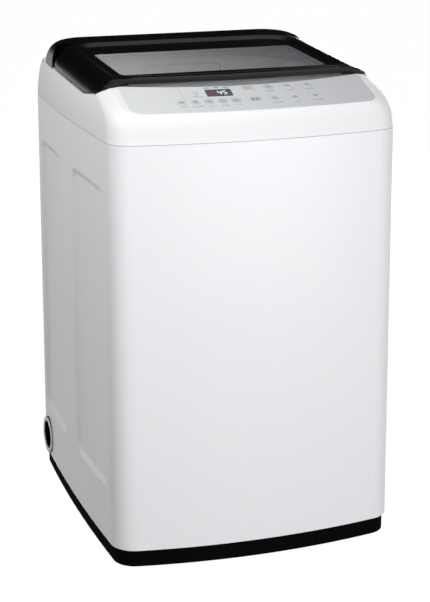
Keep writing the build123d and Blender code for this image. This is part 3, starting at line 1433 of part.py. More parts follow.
def make_motor():
    """Motor body with end caps and four mounting feet."""
    body = post(MOTOR_R, MOTOR_X, TUB_Y, MOTOR_BOTTOM + 6, MOTOR_TOP)
    body = fillet(body.edges().filter_by(GeomType.CIRCLE), 6)
    body += post(MOTOR_R / 2, MOTOR_X, TUB_Y, MOTOR_BOTTOM, MOTOR_TOP - 5)
    body -= post(MOTOR_SHAFT_R + RUN, MOTOR_X, TUB_Y, MOTOR_BOTTOM - 1, MOTOR_BOTTOM + 40)
    return body + [post(MOTOR_FOOT_R, x, y, MOTOR_TOP - 4, CLUTCH_TOP) for x, y in motor_feet()]


def groove_profile(radius, x):
    """Pulley half section with a flat bottomed groove, as (radius, height) points."""
    middle = (PULLEY_BOTTOM + PULLEY_TOP) / 2
    half = PULLEY_HEIGHT / 2
    slot = GROOVE / 2 + BELT_SIDE
    low_r = radius - BELT_THICK - BELT_SEAT
    return [
        (x, middle - half), (radius, middle - half), (radius, middle - slot), (low_r, middle - slot),
        (low_r, middle + slot), (radius, middle + slot), (radius, middle + half), (x, middle + half)]


def make_clutch_pulley():
    """Large pulley with a thin web on the clutch input."""
    body = Pos(0, TUB_Y, 0) * revolve(Plane.XZ * polygon(groove_profile(PULLEY_R, 0.0)), Axis.Z)
    web_low = (PULLEY_BOTTOM + PULLEY_TOP) / 2 - PULLEY_WEB / 2
    rim_in = PULLEY_R - BELT_THICK - PULLEY_RIM
    for z0, z1 in ((PULLEY_BOTTOM - 1, web_low), (web_low + PULLEY_WEB, PULLEY_TOP + 1)):
        body -= pipe(rim_in, SPIN_SHAFT_R + 4, 0, TUB_Y, z0, z1)
    hole = post(rim_in / 5, (rim_in + SPIN_SHAFT_R) / 2, TUB_Y, PULLEY_BOTTOM, PULLEY_TOP)
    body -= around(hole, 5, 0, TUB_Y)
    body += post(WASH_SHAFT_R, 0, TUB_Y, PULLEY_TOP - 1, CLUTCH_BOTTOM + CLUTCH_WALL - 1.5)
    return body


def make_motor_pulley():
    """Small pulley with the motor shaft."""
    points = groove_profile(MOTOR_PULLEY_R, 0.0)
    body = Pos(MOTOR_X, TUB_Y, 0) * revolve(Plane.XZ * polygon(points), Axis.Z)
    return body + post(MOTOR_SHAFT_R, MOTOR_X, TUB_Y, PULLEY_TOP - 1, MOTOR_BOTTOM + 38)


def belt_face(grow):
    """Plan of a belt loop around both pulleys."""
    big = PULLEY_R + grow
    small = MOTOR_PULLEY_R + grow
    span = abs(MOTOR_X)
    lean = (big - small) / span
    rise = sqrt(1 - lean ** 2)
    tangent = [
        (lean * -1 * big, rise * big), (MOTOR_X - lean * small, rise * small),
        (MOTOR_X - small, 0), (MOTOR_X - lean * small, -rise * small),
        (-lean * big, -rise * big), (big, 0)]
    edges = [
        Line(tangent[0], tangent[1]),
        ThreePointArc(tangent[1], tangent[2], tangent[3]),
        Line(tangent[3], tangent[4]),
        ThreePointArc(tangent[4], tangent[5], tangent[0]),
    ]
    return Pos(0, TUB_Y) * make_face(edges)


def make_belt():
    """Drive belt loop."""
    middle = (PULLEY_BOTTOM + PULLEY_TOP) / 2
    outer = belt_face(0.0)
    inner = belt_face(-BELT_THICK)
    return prism(outer, middle - GROOVE / 2, middle + GROOVE / 2) - prism(
        inner, middle - GROOVE, middle + GROOVE)


DRAIN_VALVE_TOP = TUB_BOTTOM - PLATE_GAP
DRAIN_VALVE_LOW = DRAIN_VALVE_TOP - DRAIN_VALVE_HEIGHT
HOSE_Z = DRAIN_VALVE_LOW + HOSE_R + 4


def make_drain_valve():
    """Drain valve under the tub with an outlet to the rear."""
    body = post(DRAIN_VALVE_R, VALVE_X, VALVE_Y, DRAIN_VALVE_LOW, DRAIN_VALVE_TOP)
    y1 = VALVE_Y + DRAIN_VALVE_R + HOSE_OUTLET
    body += along_y(HOSE_R - HOSE_WALL - FIT, VALVE_Y, y1, VALVE_X, HOSE_Z)
    body -= along_y(HOSE_R - 2 * HOSE_WALL - FIT, VALVE_Y, y1 + 1, VALVE_X, HOSE_Z)
    return body


def make_drain_hose():
    """Inner drain hose from the valve to the drain port."""
    start = (VALVE_X, VALVE_Y + DRAIN_VALVE_R + FIT, HOSE_Z)
    stub_end = DRAIN_X + DRAIN_CUP + FIT
    points = [start, (VALVE_X, DRAIN_Y, HOSE_Z), (VALVE_X, DRAIN_Y, DRAIN_Z), (stub_end, DRAIN_Y, DRAIN_Z)]
    path = FilletPolyline(*points, radius=HOSE_BEND)
    section = Plane(path @ 0, z_dir=path % 0) * (Circle(HOSE_R) - Circle(HOSE_R - HOSE_WALL))
    return sweep(section, path=path)


def save(name, shape):
    """Write one node, a solid or a group of solids, to its own file."""
    solids = []
    for piece in shape if isinstance(shape, list) else [shape]:
        solids += piece.solids()
    node = solids[0] if len(solids) == 1 else Compound(children=solids)
    node.label = name
    export_step(node, "parts/%s.step" % name)


def main():
    """Build every node."""
    form = cover_form()
    lowered = Pos(0, 0, -PANEL_THICK / cos(radians(PANEL_SLOPE))) * form
    front_feet = foot_places()[:2]
    nodes = {
        "cabinet": make_cabinet(),
        "rear_panel": make_rear_panel(),
        "rear_panel_screws": make_rear_screws(),
        "base": make_base(),
        "foot_front_left": make_foot(*front_feet[0]),
        "foot_front_right": make_foot(*front_feet[1]),
        "rear_feet": make_rear_feet(),
        "foot_lock_nuts": make_lock_nuts(),
        "drain_port": make_drain_port(),
        "top_cover": make_top_cover(form, lowered),
        "control_panel": make_control_panel(form, lowered),
        "display_window": make_display(),
        "control_board": make_board(),
        "lid_frame": make_lid_frame(),
        "lid_window": make_lid_window(),
        "hinge_pins": make_hinge_pins(),
        "hinge_brackets": make_hinge_brackets(),
        "lid_bumpers": make_bumpers(),
        "rear_deck": make_rear_deck(),
        "detergent_drawer": make_drawer(),
        "dispenser_housing": make_housing(),
        "inlet_valve": make_inlet_valve(),
        "cord_gland": make_gland(),
        "corner_brackets": make_corner_brackets(),
        "suspension_rods": make_rods(),
        "suspension_cups": make_cups(),
        "suspension_springs": make_springs(),
        "outer_tub": make_tub(),
        "tub_cover": make_tub_cover(),
        "tub_seal": make_seal(),
        "wash_drum": make_drum(),
        "balance_ring": make_balance_ring(),
        "drum_hub": make_hub(),
        "lint_filters": make_filters(),
        "pulsator": make_pulsator(),
        "pulsator_cap": make_pulsator_cap(),
        "spin_shaft": make_spin_shaft(),
        "wash_shaft": make_wash_shaft(),
        "clutch_case": make_clutch(),
        "spin_bearing": make_bearing(),
        "support_plate": make_support_plate(),
        "motor": make_motor(),
        "clutch_pulley": make_clutch_pulley(),
        "motor_pulley": make_motor_pulley(),
        "drive_belt": make_belt(),
        "drain_valve": make_drain_valve(),
        "drain_hose": make_drain_hose(),
    }
    for name, (x, run, square) in KEYS.items():
        nodes[name] = make_key(x, run, square)
    for name, shape in nodes.items():
        save(name, shape)


main()
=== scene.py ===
"""Looks of a top load washing machine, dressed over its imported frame.

Places are in metres on the frame's own axes: origin on the floor under the middle of the
cabinet, the front towards -Y, +Z up. Marks on the fascia are drawn in millimetres.
"""

import logging
from dataclasses import dataclass
from enum import Enum
from math import asin, cos, pi, radians, sin, sqrt, tan
from typing import Optional, Sequence, Union

import bmesh
import bpy
from bmesh.types import BMesh, BMVert
from bpy.types import ID, Material, Mesh, NodeOutputs, NodeSocket, NodeTree, Object
from mathutils import Matrix, Vector
from mathutils.bvhtree import BVHTree
from mathutils.geometry import convex_hull_2d


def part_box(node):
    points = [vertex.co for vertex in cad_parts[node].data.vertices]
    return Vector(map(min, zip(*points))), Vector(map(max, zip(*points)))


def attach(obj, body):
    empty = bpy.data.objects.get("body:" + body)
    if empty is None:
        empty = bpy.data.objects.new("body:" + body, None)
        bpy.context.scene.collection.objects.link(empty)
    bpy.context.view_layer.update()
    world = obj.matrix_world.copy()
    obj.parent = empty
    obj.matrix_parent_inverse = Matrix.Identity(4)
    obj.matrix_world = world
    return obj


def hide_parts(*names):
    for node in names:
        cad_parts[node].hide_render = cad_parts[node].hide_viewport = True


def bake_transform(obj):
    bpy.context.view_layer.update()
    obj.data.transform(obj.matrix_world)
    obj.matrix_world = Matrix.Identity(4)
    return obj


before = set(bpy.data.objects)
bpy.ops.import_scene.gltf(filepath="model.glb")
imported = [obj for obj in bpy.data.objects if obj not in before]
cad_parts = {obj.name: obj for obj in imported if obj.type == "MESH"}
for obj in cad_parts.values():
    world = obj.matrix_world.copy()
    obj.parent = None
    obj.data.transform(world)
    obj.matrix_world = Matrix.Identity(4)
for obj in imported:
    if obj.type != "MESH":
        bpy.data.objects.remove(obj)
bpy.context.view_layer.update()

LOG = logging.getLogger("washing_machine")
MM = 0.001

Row = tuple[float, ...]
Point = tuple[float, float]
Triple = tuple[float, float, float]
Colour = tuple[float, float, float, float]
Station = tuple[float, float, float, float]
Pair = tuple[Vector, Vector]
Sockets = dict[Union[str, int], object]

# Sockets of Blender's colour mix, which share their names with those of its other kinds
MIX_FROM, MIX_TO, MIX_RESULT = 6, 7, 2
# Detail of the noise in colour patches, in smooth skins and in coarse ones
DRIFT_DETAIL, SMOOTH_DETAIL, COARSE_DETAIL = 2.0, 1.0, 3.0
LEAST_ROUGHNESS = 0.02
# Axis of the drum, and how short the brushing makes one radian look beside one metre of height
TUB_AXIS_Y = 0.008
BRUSH_STRETCH = 0.004
# Corners nearer than this are one: in finished meshes, in ink drawn in millimetres, and on an axis
WELD = 1e-7
WELD_INK_MM = 1e-5
ON_AXIS = 1e-9
# Height over the object from which rays fall on it
RAY_HEIGHT = 2.0


def linear(code: str) -> Colour:
    """Turn an sRGB hex colour into the linear colour that shaders take, by the sRGB standard.

    Args:
        code: Six hex digits after a hash sign.

    Returns:
        Red, green, blue and an alpha of one.
    """
    parts = [int(code[i:i + 2], 16) / 255.0 for i in (1, 3, 5)]
    red, green, blue = (p / 12.92 if p <= 0.04045 else ((p + 0.055) / 1.055) ** 2.4 for p in parts)
    return red, green, blue, 1.0


def add_node(
    tree: NodeTree, kind: str, sockets: Optional[Sockets] = None, **settings: object
) -> NodeOutputs:
    """Add a shader node with its settings, socket values and links.

    Args:
        tree: The node tree that gets the node.
        kind: Blender's name for the node type, after its first two words.
        sockets: Input names or numbers, each with a value or the output that feeds it.
        settings: Attributes of the node itself.

    Returns:
        The outputs of the new node.
    """
    node = tree.nodes.new("ShaderNode" + kind)
    for name, value in settings.items():
        setattr(node, name, value)
    for name, value in (sockets or {}).items():
        if isinstance(value, NodeSocket):
            tree.links.new(value, node.inputs[name])
        else:
            node.inputs[name].default_value = value
    return node.outputs


def blank_material(title: str) -> Material:
    """Make a material with an empty node tree.

    Args:
        title: Name of the material.

    Returns:
        The new material.
    """
    made = bpy.data.materials.new(title)
    made.use_nodes = True
    made.node_tree.nodes.clear()
    return made


class Grain(Enum):
    """How a surface was made, which sets the pattern of its relief."""

    MOULDED = "spark-eroded mould texture, even in all directions"
    SPRAYED = "orange peel of a stoved paint film"
    BRUSHED = "fine lines that run round the upright axis"
    SPANGLED = "crystals of a hot zinc bath"
    CAST = "coarse skin of a die casting"
    POLISHED = "no relief, only faint handling haze"


@dataclass(frozen=True)
class Finish:
    """One surface finish, built as a procedural material.

    Attributes:
        title: The real material and how it was made.
        colour: Main sRGB colour.
        drift: Second sRGB colour, of large soft patches.
        drift_mm: Size of those patches.
        roughness: Middle roughness.
        spread: How far the roughness strays from the middle.
        grain: Pattern of the relief.
        grain_mm: Size of one grain of the relief.
        depth_mm: Height of the relief.
        ior: Index of refraction.
        specular: Specular level of the shader.
        metallic: One for bare metal.
        coat: Weight of a clear coat.
        coat_roughness: Roughness of that coat.
        alpha: Share of light that the surface stops.
        glow: Strength of the light that it gives off.
        fade_mm: Width over which it fades to the second colour, left to right, if any.
    """

    title: str
    colour: str
    drift: str
    drift_mm: float
    roughness: float
    spread: float
    grain: Grain
    grain_mm: float
    depth_mm: float
    ior: float = 1.5
    specular: float = 0.5
    metallic: float = 0.0
    coat: float = 0.0
    coat_roughness: float = 0.1
    alpha: float = 1.0
    glow: float = 0.0
    fade_mm: float = 0.0

    def material(self) -> Material:
        """Find the finish's material, and build it on the first call.

        Returns:
            The material.
        """
        made = bpy.data.materials.get(self.title)
        if made is None:
            made = blank_material(self.title)
            self._build(made.node_tree)
            made.diffuse_color = linear(self.colour)
        return made

    def _build(self, tree: NodeTree) -> None:
        """Fill a material's empty node tree with the shader and its patterns.

        Args:
            tree: The node tree.
        """
        place = add_node(tree, "TexCoord")["Object"]
        ends = {MIX_FROM: linear(self.colour), MIX_TO: linear(self.drift)}
        mix = add_node(tree, "Mix", {"Factor": self._drift(tree, place), **ends}, data_type="RGBA")
        relief = self._relief(tree, place)
        rough = add_node(tree, "MapRange", {
            "Value": relief,
            "To Min": max(self.roughness - self.spread, LEAST_ROUGHNESS),
            "To Max": min(self.roughness + self.spread, 1.0),
        })
        bump = add_node(tree, "Bump", {"Height": relief, "Distance": self.depth_mm * MM})
        shader = add_node(tree, "BsdfPrincipled", {
            "Base Color": mix[MIX_RESULT],
            "Roughness": rough["Result"],
            "Normal": bump["Normal"],
            "IOR": self.ior,
            "Metallic": self.metallic,
            "Specular IOR Level": self.specular,
            "Coat Weight": self.coat,
            "Coat Roughness": self.coat_roughness,
            "Alpha": self.alpha,
            "Emission Color": linear(self.colour),
            "Emission Strength": self.glow,
        })
        add_node(tree, "OutputMaterial", {"Surface": shader["BSDF"]})

    def _drift(self, tree: NodeTree, place: NodeSocket) -> NodeSocket:
        """Add what leads from the main colour to the second one.

        Args:
            tree: The material's node tree.
            place: Where on the object a point is.

        Returns:
            The share of the second colour.
        """
        if self.fade_mm > 0.0:
            half = 0.5 * self.fade_mm * MM
            across = add_node(tree, "SeparateXYZ", {"Vector": place})["X"]
            ends = {"Value": across, "From Min": -half, "From Max": half}
            return add_node(tree, "MapRange", ends, interpolation_type="SMOOTHSTEP")["Result"]
        scale = 1.0 / (self.drift_mm * MM)
        return add_node(tree, "TexNoise", {"Vector": place, "Scale": scale, "Detail": DRIFT_DETAIL})["Fac"]

    def _relief(self, tree: NodeTree, place: NodeSocket) -> NodeSocket:
        """Add the relief pattern.

        Args:
            tree: The material's node tree.
            place: Where on the object a point is.

        Returns:
            The height of the relief, from 0 to 1.
        """
        scale = 1.0 / (self.grain_mm * MM)
        if self.grain is Grain.SPANGLED:
            crystals = add_node(tree, "TexVoronoi", {"Vector": place, "Scale": scale})
            return add_node(tree, "SeparateColor", {"Color": crystals["Color"]})[0]
        if self.grain is Grain.BRUSHED:
            # Stretched round the drum's upright axis, grains become lines
            axis = (0.0, TUB_AXIS_Y, 0.0)
            centred = add_node(tree, "VectorMath", {0: place, 1: axis}, operation="SUBTRACT")
            parts = add_node(tree, "SeparateXYZ", {"Vector": centred["Vector"]})
            flat = add_node(tree, "CombineXYZ", {"X": parts["X"], "Y": parts["Y"]})
            radius = add_node(tree, "VectorMath", {0: flat["Vector"]}, operation="LENGTH")
            turn = add_node(tree, "Math", {0: parts["Y"], 1: parts["X"]}, operation="ARCTAN2")
            slow = add_node(tree, "Math", {0: turn["Value"], 1: BRUSH_STRETCH}, operation="MULTIPLY")
            lines = {"X": slow["Value"], "Y": radius["Value"], "Z": parts["Z"]}
            place = add_node(tree, "CombineXYZ", lines)["Vector"]
        detail = SMOOTH_DETAIL if self.grain in (Grain.SPRAYED, Grain.POLISHED) else COARSE_DETAIL
        return add_node(tree, "TexNoise", {"Vector": place, "Scale": scale, "Detail": detail})["Fac"]


# Finishes by the record's material slot. Each comment says what the material gives the eye.
FINISHES: dict[str, Finish] = {
    # Stoved white enamel on steel sheet: cool white, soft wide highlights, a trace of orange peel
    "white_steel": Finish(
        "stoved_enamel_on_steel", "#EDEEF0", "#EAEBEE", 220.0, 0.36, 0.03, Grain.SPRAYED, 3.2, 0.012,
        specular=0.35),
    # Moulded white ABS: the same white, a little softer under light
    "white_plastic": Finish(
        "moulded_white_abs", "#EDEEEF", "#EAEBED", 160.0, 0.5, 0.04, Grain.MOULDED, 1.1, 0.008,
        specular=0.2),
    # Moulded black ABS with a satin skin: deep black with a narrow grey sheen on the turns
    "black_plastic": Finish(
        "satin_black_abs", "#050506", "#070708", 120.0, 0.24, 0.04, Grain.MOULDED, 0.9, 0.004,
        specular=0.13),
    # Black polypropylene skirt: dull, nearly no sheen
    "base_plastic": Finish(
        "black_polypropylene", "#050506", "#070708", 90.0, 0.6, 0.06, Grain.MOULDED, 1.2, 0.02,
        specular=0.0, coat=0.03, coat_roughness=0.5),
    # Silver fascia film on polycarbonate: light grey with a fine fleck, deepening to the right as painted
    # shade
    "silver_panel": Finish(
        "silver_printed_polycarbonate", "#D8DADB", "#C8CACD", 70.0, 0.42, 0.05, Grain.MOULDED, 0.6, 0.003,
        metallic=0.12, fade_mm=440.0),
    # Tinted acrylic lens over the figures: black and glossy
    "display_lens": Finish(
        "tinted_acrylic_lens", "#0B0C0E", "#0E0F12", 30.0, 0.14, 0.02, Grain.POLISHED, 8.0, 0.001,
        ior=1.49),
    # Silver ABS key caps: a shade lighter than the fascia, so that each key reads as a disc
    "key_plastic": Finish(
        "silver_abs_key_cap", "#BDBFC2", "#B9BCBF", 14.0, 0.35, 0.04, Grain.MOULDED, 0.5, 0.003,
        metallic=0.08),
    # Smoked tempered glass with a pale film that greys to the right: painted reflection of the studio
    "smoked_glass": Finish(
        "smoked_glass_painted_reflection", "#FBFCFD", "#AFB2B6", 90.0, 0.06, 0.01, Grain.POLISHED, 40.0, 0.0,
        ior=1.52, alpha=0.35, specular=0.3, fade_mm=420.0),
    # Brushed stainless steel of the wash drum: bright bands round the wall
    "stainless": Finish(
        "brushed_stainless_steel", "#C9CACB", "#C2C4C6", 110.0, 0.27, 0.08, Grain.BRUSHED, 1.0, 0.01,
        metallic=1.0),
    # Hot dipped zinc on steel: pale grey with faint crystal patches
    "zinc_steel": Finish(
        "hot_dipped_zinc_on_steel", "#B4B8BB", "#A9ADB1", 60.0, 0.42, 0.09, Grain.SPANGLED, 7.0, 0.004,
        metallic=1.0),
    # Oil tempered spring wire: dark steel with a low shine
    "spring_steel": Finish(
        "oil_tempered_spring_wire", "#5C5E61", "#4C4E52", 20.0, 0.34, 0.06, Grain.MOULDED, 0.8, 0.006,
        metallic=1.0),
    # Die cast aluminium: dull grey skin
    "cast_alloy": Finish(
        "die_cast_aluminium", "#9C9FA2", "#8E9195", 45.0, 0.52, 0.1, Grain.CAST, 1.6, 0.03, metallic=1.0),
    # Baked varnish on the motor's steel: dark blue grey
    "motor_steel": Finish(
        "varnished_motor_steel", "#3B4046", "#33373D", 50.0, 0.45, 0.06, Grain.SPRAYED, 2.0, 0.012),
    # Grey polypropylene of the tub: milky and matt
    "grey_plastic": Finish(
        "grey_polypropylene", "#A3A8AD", "#9BA0A6", 80.0, 0.5, 0.06, Grain.MOULDED, 1.3, 0.015),
    # Pale blue polypropylene of the wash plate and ring
    "pale_blue_plastic": Finish(
        "pale_blue_polypropylene", "#C4D4DF", "#BCCEDA", 80.0, 0.36, 0.05, Grain.MOULDED, 1.0, 0.008),
    # Milky white drawer plastic
    "drawer_plastic": Finish(
        "milky_polypropylene", "#D9DDE0", "#D3D8DC", 60.0, 0.4, 0.05, Grain.MOULDED, 1.0, 0.008),
    # Glass fibre laminate of the board
    "board_laminate": Finish(
        "glass_fibre_laminate", "#1F5A3A", "#1A4E33", 12.0, 0.4, 0.05, Grain.MOULDED, 0.7, 0.01),
    # Moulded rubber: black, dry and rough
    "rubber": Finish(
        "moulded_rubber", "#1B1B1D", "#222224", 25.0, 0.82, 0.06, Grain.CAST, 0.9, 0.03, specular=0.3),
    # Nylon of the valve body
    "valve_plastic": Finish(
        "moulded_white_nylon", "#D8D6CC", "#D0CEC4", 30.0, 0.45, 0.05, Grain.MOULDED, 0.9, 0.01),
}


# Silver grey sheet in the finger scoop, painted shade under the lip: mid grey that sets the lip off from
# the fascia
SCOOP_PAINTED_SHADE = Finish(
    "silver_polycarbonate_painted_shade", "#CCCED0", "#C6C8CB", 70.0, 0.5, 0.05, Grain.MOULDED, 0.6, 0.003,
    specular=0.2)


# Grey sheet in the seam under the cover, painted shade of the gap: a soft grey line
SEAM_PAINTED_SHADE = Finish(
    "grey_painted_seam_shade", "#77797C", "#7C7E81", 40.0, 0.8, 0.04, Grain.CAST, 0.8, 0.01, specular=0.1)


# Printed film: size of its colour patches, then the grain, grain size and depth of its skin
INK_PATCH_MM = 6.0
INK_SKIN = (Grain.POLISHED, 2.0, 0.001)


class Ink(Enum):
    """Inks and small lights on the fascia."""

    DARK = Finish("dark_grey_screen_ink", "#3C4146", "#464B50", INK_PATCH_MM, 0.55, 0.05, *INK_SKIN)
    PALE = Finish("white_screen_ink", "#E9ECEE", "#E4E8EB", INK_PATCH_MM, 0.5, 0.05, *INK_SKIN)
    BLUE = Finish("blue_screen_ink", "#2C8FC6", "#2788BF", INK_PATCH_MM, 0.5, 0.05, *INK_SKIN)
    SKY = Finish("light_blue_screen_ink", "#9CCFEA", "#94C9E6", INK_PATCH_MM, 0.5, 0.05, *INK_SKIN)
    RED = Finish("red_screen_ink", "#D8736F", "#D26B68", INK_PATCH_MM, 0.5, 0.05, *INK_SKIN)
    LIT = Finish("lit_white_figures", "#DCEBF2", "#D4E6F0", INK_PATCH_MM, 0.5, 0.02, *INK_SKIN, glow=0.7)
    DIM = Finish("dim_red_figures", "#7A2A2E", "#702428", INK_PATCH_MM, 0.5, 0.02, *INK_SKIN, glow=0.25)


def show(name: str, data: ID) -> Object:
    """Put an object in the scene.

    Args:
        name: Its name.
        data: Its mesh, lens or light.

    Returns:
        The new object.
    """
    made = bpy.data.objects.new(name, data)
    bpy.context.scene.collection.objects.link(made)
    return made


def add_piece(name: str, mesh: Mesh, finish: Finish, body: str = "") -> Object:
    """Put a mesh in the scene as a piece of one finish.

    Args:
        name: Name of the piece.
        mesh: Its mesh.
        finish: The finish of all its faces.
        body: The body that it rides on, if that is settled here.

    Returns:
        The new object.
    """
    mesh.materials.clear()
    mesh.materials.append(finish.material())
    made = show(name, mesh)
    if body:
        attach(made, body)
    return made


def settle(sheet: BMesh, name: str, smooth: bool) -> Mesh:
    """Clean a built mesh and turn it into mesh data.

    Args:
        sheet: The mesh under construction, which is freed.
        name: Name of the mesh data.
        smooth: Whether faces are shaded smooth.

    Returns:
        The mesh data.
    """
    bmesh.ops.remove_doubles(sheet, verts=sheet.verts[:], dist=WELD)
    bmesh.ops.recalc_face_normals(sheet, faces=sheet.faces[:])
    for face in sheet.faces:
        face.smooth = smooth
    mesh = bpy.data.meshes.new(name)
    sheet.to_mesh(mesh)
    sheet.free()
    return mesh


def spin(sheet: BMesh, profile: Sequence[Point], steps: int) -> None:
    """Turn a profile about the Z axis.

    Args:
        sheet: The mesh under construction.
        profile: Radius and height of each corner, from axis to axis or as a loop.
        steps: Faces round the turn.
    """
    rings = []
    for radius, height in profile:
        turns = (2.0 * pi * i / steps for i in range(steps if radius > ON_AXIS else 1))
        rings.append([sheet.verts.new((radius * cos(t), radius * sin(t), height)) for t in turns])
    for low, high in zip(rings, rings[1:]):
        for i in range(steps):
            j = (i + 1) % steps
            corners = [low[i % len(low)], low[j % len(low)], high[j % len(high)], high[i % len(high)]]
            sheet.faces.new(list(dict.fromkeys(corners)))


def lathe(name: str, profile: Sequence[Point], place: Matrix, steps: int, slot: str) -> None:
    """Turn a profile about the Z axis of a place into a piece that rides on the machine.

    Args:
        name: Name of the piece.
        profile: Radius and height of each corner, in metres.
        place: Where the turned piece's axes stand.
        steps: Faces round the turn.
        slot: The finish's material slot.
    """
    sheet = bmesh.new()
    spin(sheet, profile, steps)
    sheet.transform(place)
    add_piece(name, settle(sheet, name, True), FINISHES[slot], "machine")


def corners_of(name: str) -> list[Vector]:
    """Return the corners of a CAD node's mesh, in metres."""
    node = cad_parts[name]
    return [node.matrix_world @ corner.co for corner in node.data.vertices]


def ground(names: Sequence[str]) -> BVHTree:
    """Gather the surface of some CAD nodes, to find heights on it.

    Args:
        names: Names of the nodes.

    Returns:
        A search tree of their faces, in metres.
    """
    points: list[Vector] = []
    faces: list[list[int]] = []
    for name in names:
        start = len(points)
        points += corners_of(name)
        faces += [[start + i for i in face.vertices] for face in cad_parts[name].data.polygons]
    return BVHTree.FromPolygons(points, faces)


def height_at(surface: BVHTree, x: float, y: float) -> float:
    """Return the top height of a surface at a place seen from above, all in millimetres."""
    hit = surface.ray_cast(Vector((x * MM, y * MM, RAY_HEIGHT)), Vector((0.0, 0.0, -1.0)))[0]
    return hit.z / MM if hit else 0.0


def drape(name: str, rows: Sequence[Sequence[Pair]], finish: Finish, body: str) -> None:
    """Close a grid of lower and upper points into a thin piece that rides on a body.

    Args:
        name: Name of the piece.
        rows: Rows of equal length, each point with its lower and its upper place in metres.
        finish: Finish of the piece.
        body: The body that it rides on.
    """
    sheet = bmesh.new()
    grid = [[[sheet.verts.new(place) for place in pair] for pair in row] for row in rows]
    for near, far in zip(grid, grid[1:]):
        for level in (0, 1):
            for i in range(len(near) - 1):
                sheet.faces.new((near[i][level], near[i + 1][level], far[i + 1][level], far[i][level]))
        for i in (0, len(near) - 1):
            sheet.faces.new((near[i][0], far[i][0], far[i][1], near[i][1]))
    for row in (grid[0], grid[-1]):
        for one, two in zip(row, row[1:]):
            sheet.faces.new((one[0], two[0], two[1], one[1]))
    add_piece(name, settle(sheet, name, True), finish, body)


# Ink film: how far it reaches into and out of the surface that it is printed on
INK_SUNK_MM = 0.04
INK_PROUD_MM = 0.08
# Steps of a pill's round end, degrees in one step of an arc, and the fewest steps of an arc
PILL_STEPS = 8
ARC_STEP = 9.0
ARC_LEAST = 4
# A lit figure's width, stroke and gap as shares of its height, its lean, and the strokes of each
FIGURE_WIDTH, FIGURE_STROKE, FIGURE_GAP, FIGURE_LEAN = 0.46, 0.13, 0.03, 0.12
SEGMENTS = {"4": "fgbc", "5": "afgcd", "8": "abcdefg"}
# Places of the strokes, as shares of half a figure's width and height
STROKES = {
    "a": (0.0, 1.0), "b": (1.0, 0.5), "c": (1.0, -0.5), "d": (0.0, -1.0), "e": (-1.0, -0.5),
    "f": (-1.0, 0.5), "g": (0.0, 0.0),
}
# Size of Blender's own font beside the height of its figures
FONT_SIZE = 1.4


